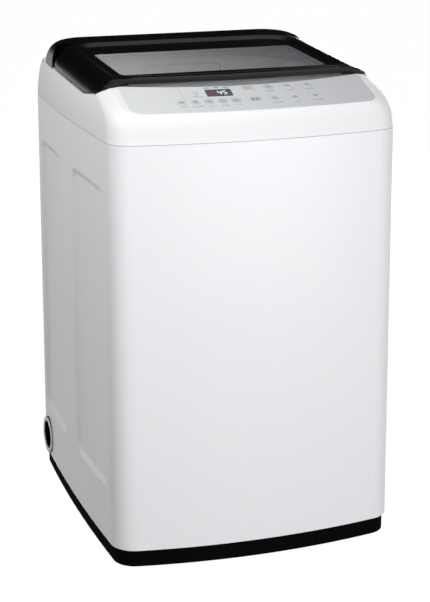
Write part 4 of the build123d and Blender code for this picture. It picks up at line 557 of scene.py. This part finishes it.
class Stencil:
    """Flat marks in millimetres, which end as one thin sheet of ink."""

    def __init__(self) -> None:
        """Start with nothing drawn."""
        self.sheet = bmesh.new()

    def shape(self, points: Sequence[Point]) -> "Stencil":
        """Draw a filled outline and return the stencil."""
        self.sheet.faces.new([self.sheet.verts.new((x, y, 0.0)) for x, y in points])
        return self

    def bar(self, x: float, y: float, width: float, height: float) -> "Stencil":
        """Draw an upright rectangle about a middle and return the stencil."""
        w, h = width / 2.0, height / 2.0
        return self.shape([(x - w, y - h), (x + w, y - h), (x + w, y + h), (x - w, y + h)])

    def pill(self, width: float, height: float) -> "Stencil":
        """Draw a lying bar with round ends.

        Args:
            width: Its whole width.
            height: Its height.

        Returns:
            The stencil.
        """
        r, reach = height / 2.0, (width - height) / 2.0
        turns = [radians(-90.0 + 180.0 * i / PILL_STEPS) for i in range(PILL_STEPS + 1)]
        right = [(reach + r * cos(t), r * sin(t)) for t in turns]
        return self.shape(right + [(-x, -y) for x, y in right])

    def disc(self, x: float, y: float, radius: float, sides: int) -> "Stencil":
        """Draw a filled disc about a middle and return the stencil."""
        turns = (2.0 * pi * i / sides for i in range(sides))
        return self.shape([(x + radius * cos(t), y + radius * sin(t)) for t in turns])

    def arc(
        self, x: float, y: float, radius: float, width: float, start: float = 0.0, sweep: float = 360.0
    ) -> "Stencil":
        """Draw a round stroke.

        Args:
            x: Middle of the arc.
            y: Middle of the arc.
            radius: Radius of the stroke's middle.
            width: Width of the stroke.
            start: Angle in degrees where it starts.
            sweep: Angle in degrees that it covers.

        Returns:
            The stencil.
        """
        steps = max(int(sweep / ARC_STEP), ARC_LEAST)
        inner, outer = radius - width / 2.0, radius + width / 2.0
        for i in range(steps):
            a, b = (radians(start + sweep * k / steps) for k in (i, i + 1))
            ends = ((inner, a), (outer, a), (outer, b), (inner, b))
            self.shape([(x + r * cos(t), y + r * sin(t)) for r, t in ends])
        return self

    def figure(self, digit: str, x: float, height: float) -> "Stencil":
        """Draw one seven segment figure.

        Args:
            digit: The figure, one of those in SEGMENTS.
            x: Its middle.
            height: Its height.

        Returns:
            The stencil.
        """
        half, width = height / 2.0, height * FIGURE_WIDTH
        stroke, gap = height * FIGURE_STROKE, height * FIGURE_GAP
        side = half - stroke / 2.0 - gap
        for name in SEGMENTS[digit]:
            across, up = STROKES[name]
            dx, dy = across * width / 2.0, up * half
            w, h = (stroke, side) if across else (width - stroke - 2.0 * gap, stroke)
            corners = [(-w / 2.0, -h / 2.0), (w / 2.0, -h / 2.0), (w / 2.0, h / 2.0), (-w / 2.0, h / 2.0)]
            self.shape([(x + dx + a + FIGURE_LEAN * (dy + b), dy + b) for a, b in corners])
        return self

    def words(self, body: str, height: float) -> "Stencil":
        """Print plain characters with Blender's own font.

        Args:
            body: The characters.
            height: Height of a figure.

        Returns:
            The stencil.
        """
        curve = bpy.data.curves.new("printed_characters", "FONT")
        curve.body = body
        curve.size = height * FONT_SIZE
        curve.align_x = "CENTER"
        curve.align_y = "CENTER"
        curve.fill_mode = "FRONT"
        curve.resolution_u = 2
        holder = bpy.data.objects.new("printed_characters", curve)
        mesh = bpy.data.meshes.new_from_object(holder)
        self.sheet.from_mesh(mesh)
        bpy.data.objects.remove(holder)
        bpy.data.curves.remove(curve)
        bpy.data.meshes.remove(mesh)
        return self

    def press(self, name: str, place: Matrix, ink: Ink, body: str, lift_mm: float = 0.0) -> None:
        """Print the marks on a surface as a closed sheet and let them ride on a body.

        Args:
            name: Name of the piece.
            place: Plane of the surface, Z outwards.
            ink: Ink that it is printed with.
            body: The body that it rides on.
            lift_mm: Height of the printed surface over the plane.
        """
        sheet = self.sheet
        bmesh.ops.remove_doubles(sheet, verts=sheet.verts[:], dist=WELD_INK_MM)
        grown = bmesh.ops.extrude_face_region(sheet, geom=sheet.faces[:])
        tops = [v for v in grown["geom"] if isinstance(v, BMVert)]
        bmesh.ops.translate(sheet, verts=tops, vec=(0.0, 0.0, INK_SUNK_MM + INK_PROUD_MM))
        bmesh.ops.translate(sheet, verts=sheet.verts[:], vec=(0.0, 0.0, lift_mm - INK_SUNK_MM))
        sheet.transform(place @ Matrix.Scale(MM, 4))
        add_piece(name, settle(sheet, name, False), ink.value, body)


@dataclass(frozen=True)
class PhotoCamera:
    """Camera at the photograph's viewing angle, in radians and pixels of the photograph."""

    eye: Triple = (-1.0106, -3.0845, 1.3605)
    yaw: float = 0.3254
    pitch: float = 0.2362
    focal_px: float = 1774.8
    middle_px: Point = (10.7, -90.0)
    longest_px: int = 602

    def build(self) -> None:
        """Make the camera and give it to the scene."""
        lens = bpy.data.cameras.new("photo_camera")
        lens.lens = self.focal_px * lens.sensor_width / self.longest_px
        lens.shift_x = -self.middle_px[0] / self.longest_px
        lens.shift_y = self.middle_px[1] / self.longest_px
        made = show("photo_camera", lens)
        made.location = self.eye
        made.rotation_euler = (pi / 2.0 - self.pitch, 0.0, -self.yaw)
        bpy.context.scene.camera = made


@dataclass(frozen=True)
class Lamp:
    """A soft box of the studio."""

    name: str
    place: Triple
    aim: Triple
    size: Point
    watts: float

    def build(self) -> None:
        """Make the soft box and turn it to what it lights."""
        light = bpy.data.lights.new(self.name, "AREA")
        light.shape = "RECTANGLE"
        light.size, light.size_y = self.size
        light.energy = self.watts
        made = show(self.name, light)
        made.location = self.place
        made.rotation_euler = (Vector(self.aim) - Vector(self.place)).to_track_quat("-Z", "Y").to_euler()
        made.visible_camera = False


@dataclass(frozen=True)
class Studio:
    """White studio: floor, bright backdrop and soft boxes."""

    floor_half: float = 14.0
    floor_colour: str = "#545454"
    floor_glow: float = 0.975
    ambient: float = 0.2
    flag_place: Triple = (0.0, 2.0, 1.8)
    flag_half: Point = (5.0, 0.85)
    flag_colour: str = "#17181A"
    lamps: tuple[Lamp, ...] = (
        Lamp("front_soft_box", (1.1, -3.1, 0.4), (0.0, 0.0, 0.45), (2.0, 1.2), 64.0),
        Lamp("upper_soft_box", (-0.2, -1.5, 1.25), (-0.05, -0.28, 0.7), (0.5, 0.4), 4.2),
        Lamp("top_soft_box", (0.2, 0.2, 3.0), (0.0, 0.0, 0.6), (2.0, 2.0), 6.0),
        Lamp("corner_soft_box", (-1.6, -2.6, 0.6), (-0.27, -0.28, 0.45), (0.6, 1.0), 11.0),
        Lamp("rear_soft_box", (2.1, 2.5, 0.9), (0.1, 0.1, 0.4), (1.6, 1.0), 60.0),
        Lamp("side_soft_box", (-1.1, -0.4, 1.9), (-0.27, 0.0, 0.85), (0.8, 0.8), 14.0),
    )

    def build(self) -> None:
        """Make the floor, the flag, the world and the lamps."""
        self._floor()
        self._flag()
        self._world()
        for lamp in self.lamps:
            lamp.build()

    @staticmethod
    def _seen(tree: NodeTree) -> NodeSocket:
        """Tell what sees a surface.

        Args:
            tree: The surface's node tree.

        Returns:
            One for rays from the eye, a mirror or a glass, and zero for the rest.
        """
        path = add_node(tree, "LightPath")
        direct = {0: path["Is Camera Ray"], 1: path["Is Glossy Ray"]}
        mirror = add_node(tree, "Math", direct, operation="MAXIMUM")["Value"]
        either = {0: mirror, 1: path["Is Transmission Ray"]}
        return add_node(tree, "Math", either, operation="MAXIMUM")["Value"]

    @staticmethod
    def _sheet(name: str, place: Matrix, material: Material) -> Object:
        """Spread a flat sheet of the studio, which isn't part of the object.

        Args:
            name: Name of the sheet.
            place: What makes it of a lying square, two metres wide.
            material: Its material.

        Returns:
            The new object.
        """
        sheet = bmesh.new()
        bmesh.ops.create_grid(sheet, x_segments=1, y_segments=1, size=1.0)
        sheet.transform(place)
        mesh = settle(sheet, name, False)
        mesh.materials.append(material)
        made = show(name, mesh)
        return made

    def _floor(self) -> None:
        """Lay a plain pale floor that keeps a faint shadow."""
        material = blank_material("pale_studio_floor")
        tree = material.node_tree
        matt = add_node(tree, "BsdfDiffuse", {"Color": linear(self.floor_colour)})
        share = add_node(tree, "Math", {0: self._seen(tree), 1: self.floor_glow}, operation="MULTIPLY")
        white = add_node(tree, "Emission", {"Strength": share["Value"]})
        both = add_node(tree, "AddShader", {0: matt["BSDF"], 1: white["Emission"]})
        add_node(tree, "OutputMaterial", {"Surface": both["Shader"]})
        self._sheet("studio_floor", Matrix.Scale(self.floor_half, 4), material)

    def _flag(self) -> None:
        """Stand a dark cloth behind the object, which only glossy surfaces show."""
        material = blank_material("dark_studio_cloth")
        tree = material.node_tree
        cloth = add_node(tree, "BsdfDiffuse", {"Color": linear(self.flag_colour)})
        add_node(tree, "OutputMaterial", {"Surface": cloth["BSDF"]})
        upright = Matrix.Rotation(pi / 2.0, 4, "X") @ Matrix.Diagonal((*self.flag_half, 1.0, 1.0))
        flag = self._sheet("studio_flag", Matrix.Translation(self.flag_place) @ upright, material)
        for ray in ("camera", "diffuse", "transmission", "shadow"):
            setattr(flag, "visible_" + ray, False)

    def _world(self) -> None:
        """Light the object softly from all round, and show white where the world is seen."""
        world = bpy.data.worlds.new("white_studio")
        bpy.context.scene.world = world
        world.use_nodes = True
        tree = world.node_tree
        tree.nodes.clear()
        levels = {"Value": self._seen(tree), "To Min": self.ambient, "To Max": 1.0}
        level = add_node(tree, "MapRange", levels)["Result"]
        sky = add_node(tree, "Background", {"Color": (1.0, 1.0, 1.0, 1.0), "Strength": level})
        add_node(tree, "OutputWorld", {"Surface": sky["Background"]})


@dataclass(frozen=True)
class Fascia:
    """The sloped control fascia and what is printed on it.

    The fascia lies on a cone about the upright axis of the bowed front. Places on it are a
    distance from the middle and a run from its lower edge, both in millimetres.
    """

    axis_y: float = 1020.8
    lower_radius: float = 1302.8
    lower_height: float = 823.0
    slope: float = radians(18.0)
    key_proud: float = 1.0
    lens_proud: float = 0.2
    low_row: float = 32.0
    high_row: float = 72.0
    keys: tuple[tuple[str, float, Row], ...] = (
        ("wash_key_%d", low_row, (-131.0, -107.0, -83.0, -59.0, -35.0)),
        ("lower_key_%d", low_row, (36.0, 73.0, 112.0)),
        ("upper_key_%d", high_row, (37.0, 73.0, 111.0)),
    )
    blue_keys: tuple[str, ...] = ("wash_key_3", "wash_key_4", "wash_key_5", "upper_key_1")
    ring: Point = (7.2, 0.9)  # radius and width
    captions: tuple[str, ...] = (
        "15 30", "20 40 60", "1 2 3", "4 6 8", "5 7 9", "10 20 30", "2 4", "1 2 3 4 5", "30 60",
        "1 2 3 4", "6 8 10",
    )
    caption_drop: float = 14.5
    caption_height: float = 4.0
    scale: tuple[tuple[str, float], ...] = (("40 60", 66.0), ("20", 58.5), ("10 20 30", 51.0))
    scale_x: float = -97.0
    scale_height: float = 3.4
    lights: Row = (48.0, 56.0, 64.0, 72.0, 80.0)
    light_x: float = -122.0
    light: tuple[float, int] = (1.0, 20)  # radius and sides
    marks: Row = (-73.0, -55.5, -38.0)
    mark_run: float = 80.0
    mark_size: Point = (11.0, 3.4)
    display: Point = (-56.0, 62.0)
    # Figures with their places in the display and heights
    lit: tuple[tuple[str, float, float], ...] = (("4", 1.0, 12.5), ("5", 10.5, 12.5))
    dim: tuple[str, float, float] = ("8", -13.0, 12.0)

    def plane(self, x: float, run: float) -> Matrix:
        """Find the fascia's plane at a place.

        Args:
            x: Distance from the middle.
            run: Run from the lower edge.

        Returns:
            The plane in metres, X along the fascia and Z out of it.
        """
        radius = self.lower_radius - run
        turn = asin(x / radius)
        across = Vector((cos(turn), sin(turn), 0.0))
        out = Vector((sin(turn) * sin(self.slope), -cos(turn) * sin(self.slope), cos(self.slope)))
        place = Vector((x, self.axis_y - radius * cos(turn), self.lower_height + run * tan(self.slope)))
        axes = Matrix((across, out.cross(across), out)).transposed().to_4x4()
        return Matrix.Translation(place * MM) @ axes

    def build(self) -> None:
        """Print the fascia, the display and every key."""
        self._lights()
        self._display()
        self._round_keys()
        self._square_keys()

    def _lights(self) -> None:
        """Print the column of lights with its numbers, and the blue marks over the display."""
        for index, run in enumerate(self.lights, 1):
            ink = Stencil().disc(0.0, 0.0, *self.light)
            ink.press("fascia_light_%d" % index, self.plane(self.light_x, run), Ink.DARK, "machine")
        for index, (numbers, run) in enumerate(self.scale, 1):
            ink = Stencil().words(numbers, self.scale_height)
            ink.press("fascia_scale_%d" % index, self.plane(self.scale_x, run), Ink.DARK, "machine")
        for index, x in enumerate(self.marks, 1):
            ink = Stencil().pill(*self.mark_size)
            ink.press("fascia_blue_mark_%d" % index, self.plane(x, self.mark_run), Ink.BLUE, "machine")

    def _display(self) -> None:
        """Light two figures and a dim third one behind the lens."""
        place = self.plane(*self.display)
        bright = Stencil()
        for figure in self.lit:
            bright.figure(*figure)
        bright.press("display_figures", place, Ink.LIT, "machine", self.lens_proud)
        faint = Stencil().figure(*self.dim)
        faint.press("display_dim_figure", place, Ink.DIM, "machine", self.lens_proud)

    def _round_keys(self) -> None:
        """Print a ring and a plain wash sign on each round key, and plain numbers under it."""
        keys = [(name % i, x, run) for name, run, row in self.keys for i, x in enumerate(row, 1)]
        for index, ((name, x, run), numbers) in enumerate(zip(keys, self.captions), 1):
            place, body = self.plane(x, run), name + "_body"
            ring = Stencil().arc(0.0, 0.0, *self.ring)
            ink = Ink.SKY if name in self.blue_keys else Ink.PALE
            ring.press(name + "_ring", place, ink, body, self.key_proud)
            sign = self._wash_sign(len(name) + int(name[-1]))
            sign.press(name + "_sign", place, Ink.DARK, body, self.key_proud)
            caption = Stencil().words(numbers, self.caption_height)
            place = self.plane(x, run - self.caption_drop)
            caption.press("fascia_caption_%d" % index, place, Ink.DARK, "machine")

    @staticmethod
    def _wash_sign(turn: int) -> Stencil:
        """Draw a small basin about a key's middle, with a mark in it that tells keys apart.

        Args:
            turn: Number that picks a dot, a lying bar or a standing bar.

        Returns:
            The drawn sign.
        """
        radius, stroke = 2.6, 0.75
        sign = Stencil().arc(0.0, 0.6, radius, stroke, 180.0, 180.0)
        for x in (-radius, radius):
            sign.bar(x, 1.5, stroke, 1.8)
        kind = turn % 3
        if kind == 0:
            return sign.disc(0.0, 0.9, 0.8, 12)
        return sign.bar(0.0, 1.2, 3.2, 0.7) if kind == 1 else sign.bar(0.0, 2.6, 0.7, 1.8)

    def _square_keys(self) -> None:
        """Print the open ring of the power key, and the arrow and bars of the start key."""
        stroke = 0.9
        power = Stencil().arc(0.0, 0.0, 3.0, stroke, 120.0, 300.0).bar(0.0, 2.4, stroke, 3.4)
        place = self.plane(0.0, self.high_row)
        power.press("power_key_sign", place, Ink.RED, "power_key_body", self.key_proud)
        start = Stencil().shape([(-6.0, -3.0), (-0.8, 0.0), (-6.0, 3.0)])
        for x in (2.0, 5.0):
            start.bar(x, 0.0, 1.6, 6.0)
        place = self.plane(0.0, self.low_row)
        start.press("start_key_sign", place, Ink.DARK, "start_key_body", self.key_proud)


@dataclass(frozen=True)
class WashDrum:
    """Perforated stainless drum that stands for the plain CAD drum.

    The wall has columns of holes at a pitch, and turns into a floor with a hole for the shaft.
    """

    columns: int = 60
    pitch: float = 0.0225
    hole: float = 0.0022
    hole_sides: int = 8  # one for each corner and each edge of a field
    sheet: float = 0.0008
    floor_hole: float = 0.0066
    floor_turn: float = 0.014
    turn_steps: int = 6

    def build(self) -> None:
        """Make the drum and let it stand for the CAD node."""
        low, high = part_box("wash_drum")
        centre = (low + high) / 2.0
        radius = (high.x - low.x) / 2.0 - self.sheet
        sheet = bmesh.new()
        bottom = low.z + self.sheet + self.floor_turn
        rows = int((high.z - bottom) / self.pitch)
        pitch = (high.z - bottom) / rows
        for row in range(rows):
            shift = 0.5 * (row % 2)
            for column in range(self.columns):
                self._cell(sheet, radius, column + shift, bottom + row * pitch, pitch)
        profile = [(self.floor_hole, low.z + self.sheet)]
        for i in range(self.turn_steps + 1):
            turn = radians(-90.0 + 90.0 * i / self.turn_steps)
            reach = radius - self.floor_turn + self.floor_turn * cos(turn)
            profile.append((reach, bottom + self.floor_turn * sin(turn)))
        spin(sheet, profile, 2 * self.columns)
        bmesh.ops.translate(sheet, verts=sheet.verts[:], vec=(centre.x, centre.y, 0.0))
        drum = add_piece("perforated_drum", settle(sheet, "perforated_drum", True), FINISHES["stainless"])
        skin = drum.modifiers.new("sheet_thickness", "SOLIDIFY")
        skin.thickness = self.sheet
        skin.offset = 1.0
        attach(drum, "drum")
        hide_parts("wash_drum")

    def _cell(self, sheet: BMesh, radius: float, column: float, height: float, pitch: float) -> None:
        """Add one field of the wall with its hole.

        Args:
            sheet: The drum under construction.
            radius: Radius of the wall.
            column: Number of the field round the wall.
            height: Height of its lower edge.
            pitch: Height of the field.
        """
        width = 2.0 * pi * radius / self.columns
        first_corner = radians(225.0)
        turns = [first_corner + 2.0 * pi * i / self.hole_sides for i in range(self.hole_sides)]
        outer = [(0.5 * width * round(cos(t)), 0.5 * pitch * round(sin(t))) for t in turns]
        inner = [(self.hole * cos(t), self.hole * sin(t)) for t in turns]

        def on_wall(along: float, up: float) -> BMVert:
            """Return a new corner on the wall."""
            turn = (column * width + along) / radius
            return sheet.verts.new((radius * cos(turn), radius * sin(turn), height + pitch / 2.0 + up))

        outside, inside = ([on_wall(a, b) for a, b in ring] for ring in (outer, inner))
        for i in range(self.hole_sides):
            sheet.faces.new((outside[i - 1], outside[i], inside[i], inside[i - 1]))


@dataclass(frozen=True)
class DrainTrim:
    """Dark socket of the drain port, with a pale ring and screws on its rim.

    Profiles are radius and height, and the screws' turns are in degrees from the front.
    """

    ring: tuple[Point, ...] = (
        (0.0278, -0.0003), (0.0278, 0.00048), (0.02812, 0.0008), (0.03628, 0.0008), (0.0366, 0.00048),
        (0.0366, -0.0003), (0.0278, -0.0003),
    )
    ring_height: float = 0.0008
    ring_sides: int = 64
    head: tuple[Point, ...] = (
        (0.0, -0.001), (0.0024, -0.001), (0.0024, 0.00036), (0.00168, 0.00102), (0.0, 0.0012),
    )
    head_sides: int = 16
    reach: float = 0.0325
    turns: Row = (55.0, 125.0, 235.0, 305.0)

    def build(self) -> None:
        """Darken the socket and set the ring and the screws on its rim."""
        low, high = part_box("drain_port")
        middle = (low + high) / 2.0
        sideways = Matrix.Rotation(-pi / 2.0, 4, "Y")
        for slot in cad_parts["drain_port"].material_slots:
            slot.material = FINISHES["base_plastic"].material()
        place = Matrix.Translation((low.x, middle.y, middle.z)) @ sideways
        lathe("drain_rim_ring", self.ring, place, self.ring_sides, "white_plastic")
        for index, turn in enumerate(self.turns, 1):
            y = middle.y - self.reach * cos(radians(turn))
            z = middle.z + self.reach * sin(radians(turn))
            place = Matrix.Translation((low.x - self.ring_height, y, z)) @ sideways
            lathe("drain_rim_screw_%d" % index, self.head, place, self.head_sides, "zinc_steel")


@dataclass(frozen=True)
class LipTails:
    """Ends of the lid's rolled lip, which sweep over the cover's shoulders to the lid's tips.

    Attributes:
        stations: Distance from the middle, front edge, rear edge and height of the roll, in mm.
        gap_mm: Clearance to the cover.
        look_ahead_mm: How far in front of a tail the cover may stand up higher than under it.
        look_step_mm: Step of that look ahead.
        steps: Points from front to rear edge.
        rise: Share of the depth over which the roll rises.
    """

    stations: tuple[Station, ...] = (
        (199.0, -155.0, -150.0, 4.6), (206.0, -159.5, -150.0, 5.8), (214.0, -162.5, -151.0, 5.6),
        (220.0, -165.5, -150.0, 5.2), (226.0, -168.0, -148.0, 4.6), (232.0, -169.0, -146.0, 3.9),
        (238.0, -168.0, -144.0, 3.0), (244.0, -164.0, -141.0, 1.6), (248.0, -160.0, -139.0, 0.9),
        (252.0, -156.0, -138.0, 0.6), (255.0, -152.0, -140.0, 0.4),
    )
    gap_mm: float = 0.7
    look_ahead_mm: int = 26
    look_step_mm: int = 2
    steps: int = 12
    rise: float = 0.6

    def build(self) -> None:
        """Make both tails."""
        cover = ground(("top_cover", "control_panel"))
        for name, side in (("lip_tail_left", -1.0), ("lip_tail_right", 1.0)):
            rows = [self._row(cover, side, station) for station in self.stations]
            drape(name, rows, FINISHES["black_plastic"], "lid")

    def _row(self, cover: BVHTree, side: float, station: Station) -> list[Pair]:
        """Shape one station of a tail.

        Args:
            cover: What the tail lies over.
            side: One for the right tail, less for the left one.
            station: The station's measures.

        Returns:
            Lower and upper places from the front edge to the rear edge.
        """
        x, front, rear, roll = side * station[0], *station[1:]
        ahead = range(0, self.look_ahead_mm, self.look_step_mm)
        crest = max(height_at(cover, x, front - run) for run in ahead)
        row = []
        for i in range(self.steps + 1):
            share = i / self.steps
            y = front + (rear - front) * share
            crest = max(crest, height_at(cover, x, y))
            low = crest + self.gap_mm
            high = low + roll * sin(pi / 2.0 * min(1.0, share / self.rise))
            row.append((Vector((x, y, low)) * MM, Vector((x, y, high)) * MM))
        return row


@dataclass(frozen=True)
class PaintedScoopShade:
    """Grey strip on the bowed rib behind the finger scoop, painted shade under the lip, seen as a crescent.
    """

    half_mm: float = 214.0
    axis_mm: float = 1020.8
    radius_mm: float = 1176.3
    low_mm: float = 837.0
    high_mm: float = 852.6
    gap_mm: float = 0.05
    face_mm: float = 0.4
    columns: int = 40

    def build(self) -> None:
        """Lay the strip on the rib."""
        rows = []
        for column in range(self.columns + 1):
            x = self.half_mm * (2.0 * column / self.columns - 1.0)
            rounds = (self.radius_mm + self.gap_mm, self.radius_mm + self.face_mm)
            back, face = (self.axis_mm - sqrt(radius ** 2 - x ** 2) for radius in rounds)
            heights = (self.low_mm, self.high_mm)
            rows.append([(Vector((x, back, z)) * MM, Vector((x, face, z)) * MM) for z in heights])
        # The grey sheet is painted shade of the recess under the lip
        drape("finger_scoop_painted_shade", rows, SCOOP_PAINTED_SHADE, "machine")


@dataclass(frozen=True)
class PaintedSeamShade:
    """Grey strip in the seam between the cabinet and the top cover, painted shade of the gap.

    Attributes:
        seam_mm: Height of the seam.
        play_mm: Room left over and under the strip.
        face_mm: Depth of its face behind the cabinet's wall.
        back_mm: Depth of its back, a little way into the cover's tongue.
        level_mm: How far under the cabinet's top a corner still counts as its upper edge.
    """

    seam_mm: float = 0.8
    play_mm: float = 0.06
    face_mm: float = 0.25
    back_mm: float = 1.34
    level_mm: float = 0.01

    def build(self) -> None:
        """Run the strip round the upper edge of the cabinet."""
        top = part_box("cabinet")[1].z
        rim = sorted({(p.x, p.y) for p in corners_of("cabinet") if top - p.z < self.level_mm * MM})
        hull = convex_hull_2d(rim)
        first = hull.index(min(hull))
        edge = [rim[i] for i in hull[first:] + hull[:first]]
        low = top + self.play_mm * MM
        high = top + (self.seam_mm - self.play_mm) * MM
        rows = []
        for i in range(len(edge) + 1):
            before, here, after = (Vector(edge[j % len(edge)]) for j in (i - 1, i, i + 1))
            along = (after - before).normalized()
            inward = Vector((-along.y, along.x))
            face, back = (here + inward * depth * MM for depth in (self.face_mm, self.back_mm))
            rows.append([(Vector((p.x, p.y, low)), Vector((p.x, p.y, high))) for p in (face, back)])
        # The grey strip is painted shade of the seam's gap
        drape("cover_seam_painted_shade", rows, SEAM_PAINTED_SHADE, "machine")


@dataclass(frozen=True)
class DrawerSeam:
    """Dark seam round the front of the detergent drawer, which shows through the lid's glass.

    Attributes:
        inset_mm: Distance of the seam from the drawer's edges.
        corner_mm: Radius of its corners.
        width_mm: Width of the line.
    """

    inset_mm: float = 3.0
    corner_mm: float = 9.0
    width_mm: float = 2.6

    def build(self) -> None:
        """Print the seam on the drawer's front."""
        low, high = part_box("detergent_drawer")
        middle = (low + high) / 2.0
        axes = Matrix(((1.0, 0.0, 0.0), (0.0, 0.0, -1.0), (0.0, 1.0, 0.0))).to_4x4()
        half_x = (high.x - low.x) / 2.0 / MM - self.inset_mm
        half_z = (high.z - low.z) / 2.0 / MM - self.inset_mm
        run_x, run_z = half_x - self.corner_mm, half_z - self.corner_mm
        line = Stencil()
        for side in (-1.0, 1.0):
            line.bar(0.0, side * half_z, 2.0 * run_x, self.width_mm)
            line.bar(side * half_x, 0.0, self.width_mm, 2.0 * run_z)
        for x, z, start in ((1.0, 1.0, 0.0), (-1.0, 1.0, 90.0), (-1.0, -1.0, 180.0), (1.0, -1.0, 270.0)):
            line.arc(x * run_x, z * run_z, self.corner_mm, self.width_mm, start, 90.0)
        place = Matrix.Translation((middle.x, low.y, middle.z)) @ axes
        line.press("drawer_front_seam", place, Ink.DARK, "drawer")


@dataclass(frozen=True)
class Flexing:
    """A springy or soft piece between the still machine and the bouncing tub.

    Attributes:
        node: The CAD node that it stands for.
        name: Name of the piece.
        slot: Material slot of its finish.
        still: Up to where it follows the machine; not used.
        moving: From where on it follows the tub; not used.
    """

    node: str
    name: str
    slot: str
    still: Triple
    moving: Triple

    def build(self) -> None:
        """Give the node's form to a piece of its own, and hide the node."""
        made = add_piece(self.name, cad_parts[self.node].data.copy(), FINISHES[self.slot])
        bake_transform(made)
        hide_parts(self.node)


# The springs stand on the rods' plates under the tub's cups, and the hose runs from the port to the valve
FLEXING = (
    Flexing("suspension_springs", "flexing_springs", "spring_steel", (0.0, 0.0, 0.229), (0.0, 0.0, 0.2785)),
    Flexing("drain_hose", "flexing_drain_tube", "grey_plastic", (-0.213, 0.0, 0.0), (-0.122, 0.0, 0.0)),
)
ASSEMBLIES = (
    Fascia(), LipTails(), PaintedScoopShade(), PaintedSeamShade(), DrawerSeam(), WashDrum(), DrainTrim(), *FLEXING
)


def dress_frame() -> None:
    """Give every CAD node the finish of its material slot."""
    for name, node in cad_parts.items():
        for slot in node.material_slots:
            slot_name = slot.material.name.split(".")[0]
            if slot_name in FINISHES:
                slot.material = FINISHES[slot_name].material()
        LOG.info("dressed %s", name)


def main() -> None:
    """Build the camera, the studio and every dressed sub-assembly in order."""
    logging.basicConfig(level=logging.INFO, format="%(name)s: %(message)s")
    bpy.context.scene.view_settings.view_transform = "Standard"
    PhotoCamera().build()
    Studio().build()
    dress_frame()
    for assembly in ASSEMBLIES:
        assembly.build()
        LOG.info("built %s", type(assembly).__name__)


if __name__ == "__main__":
    main()
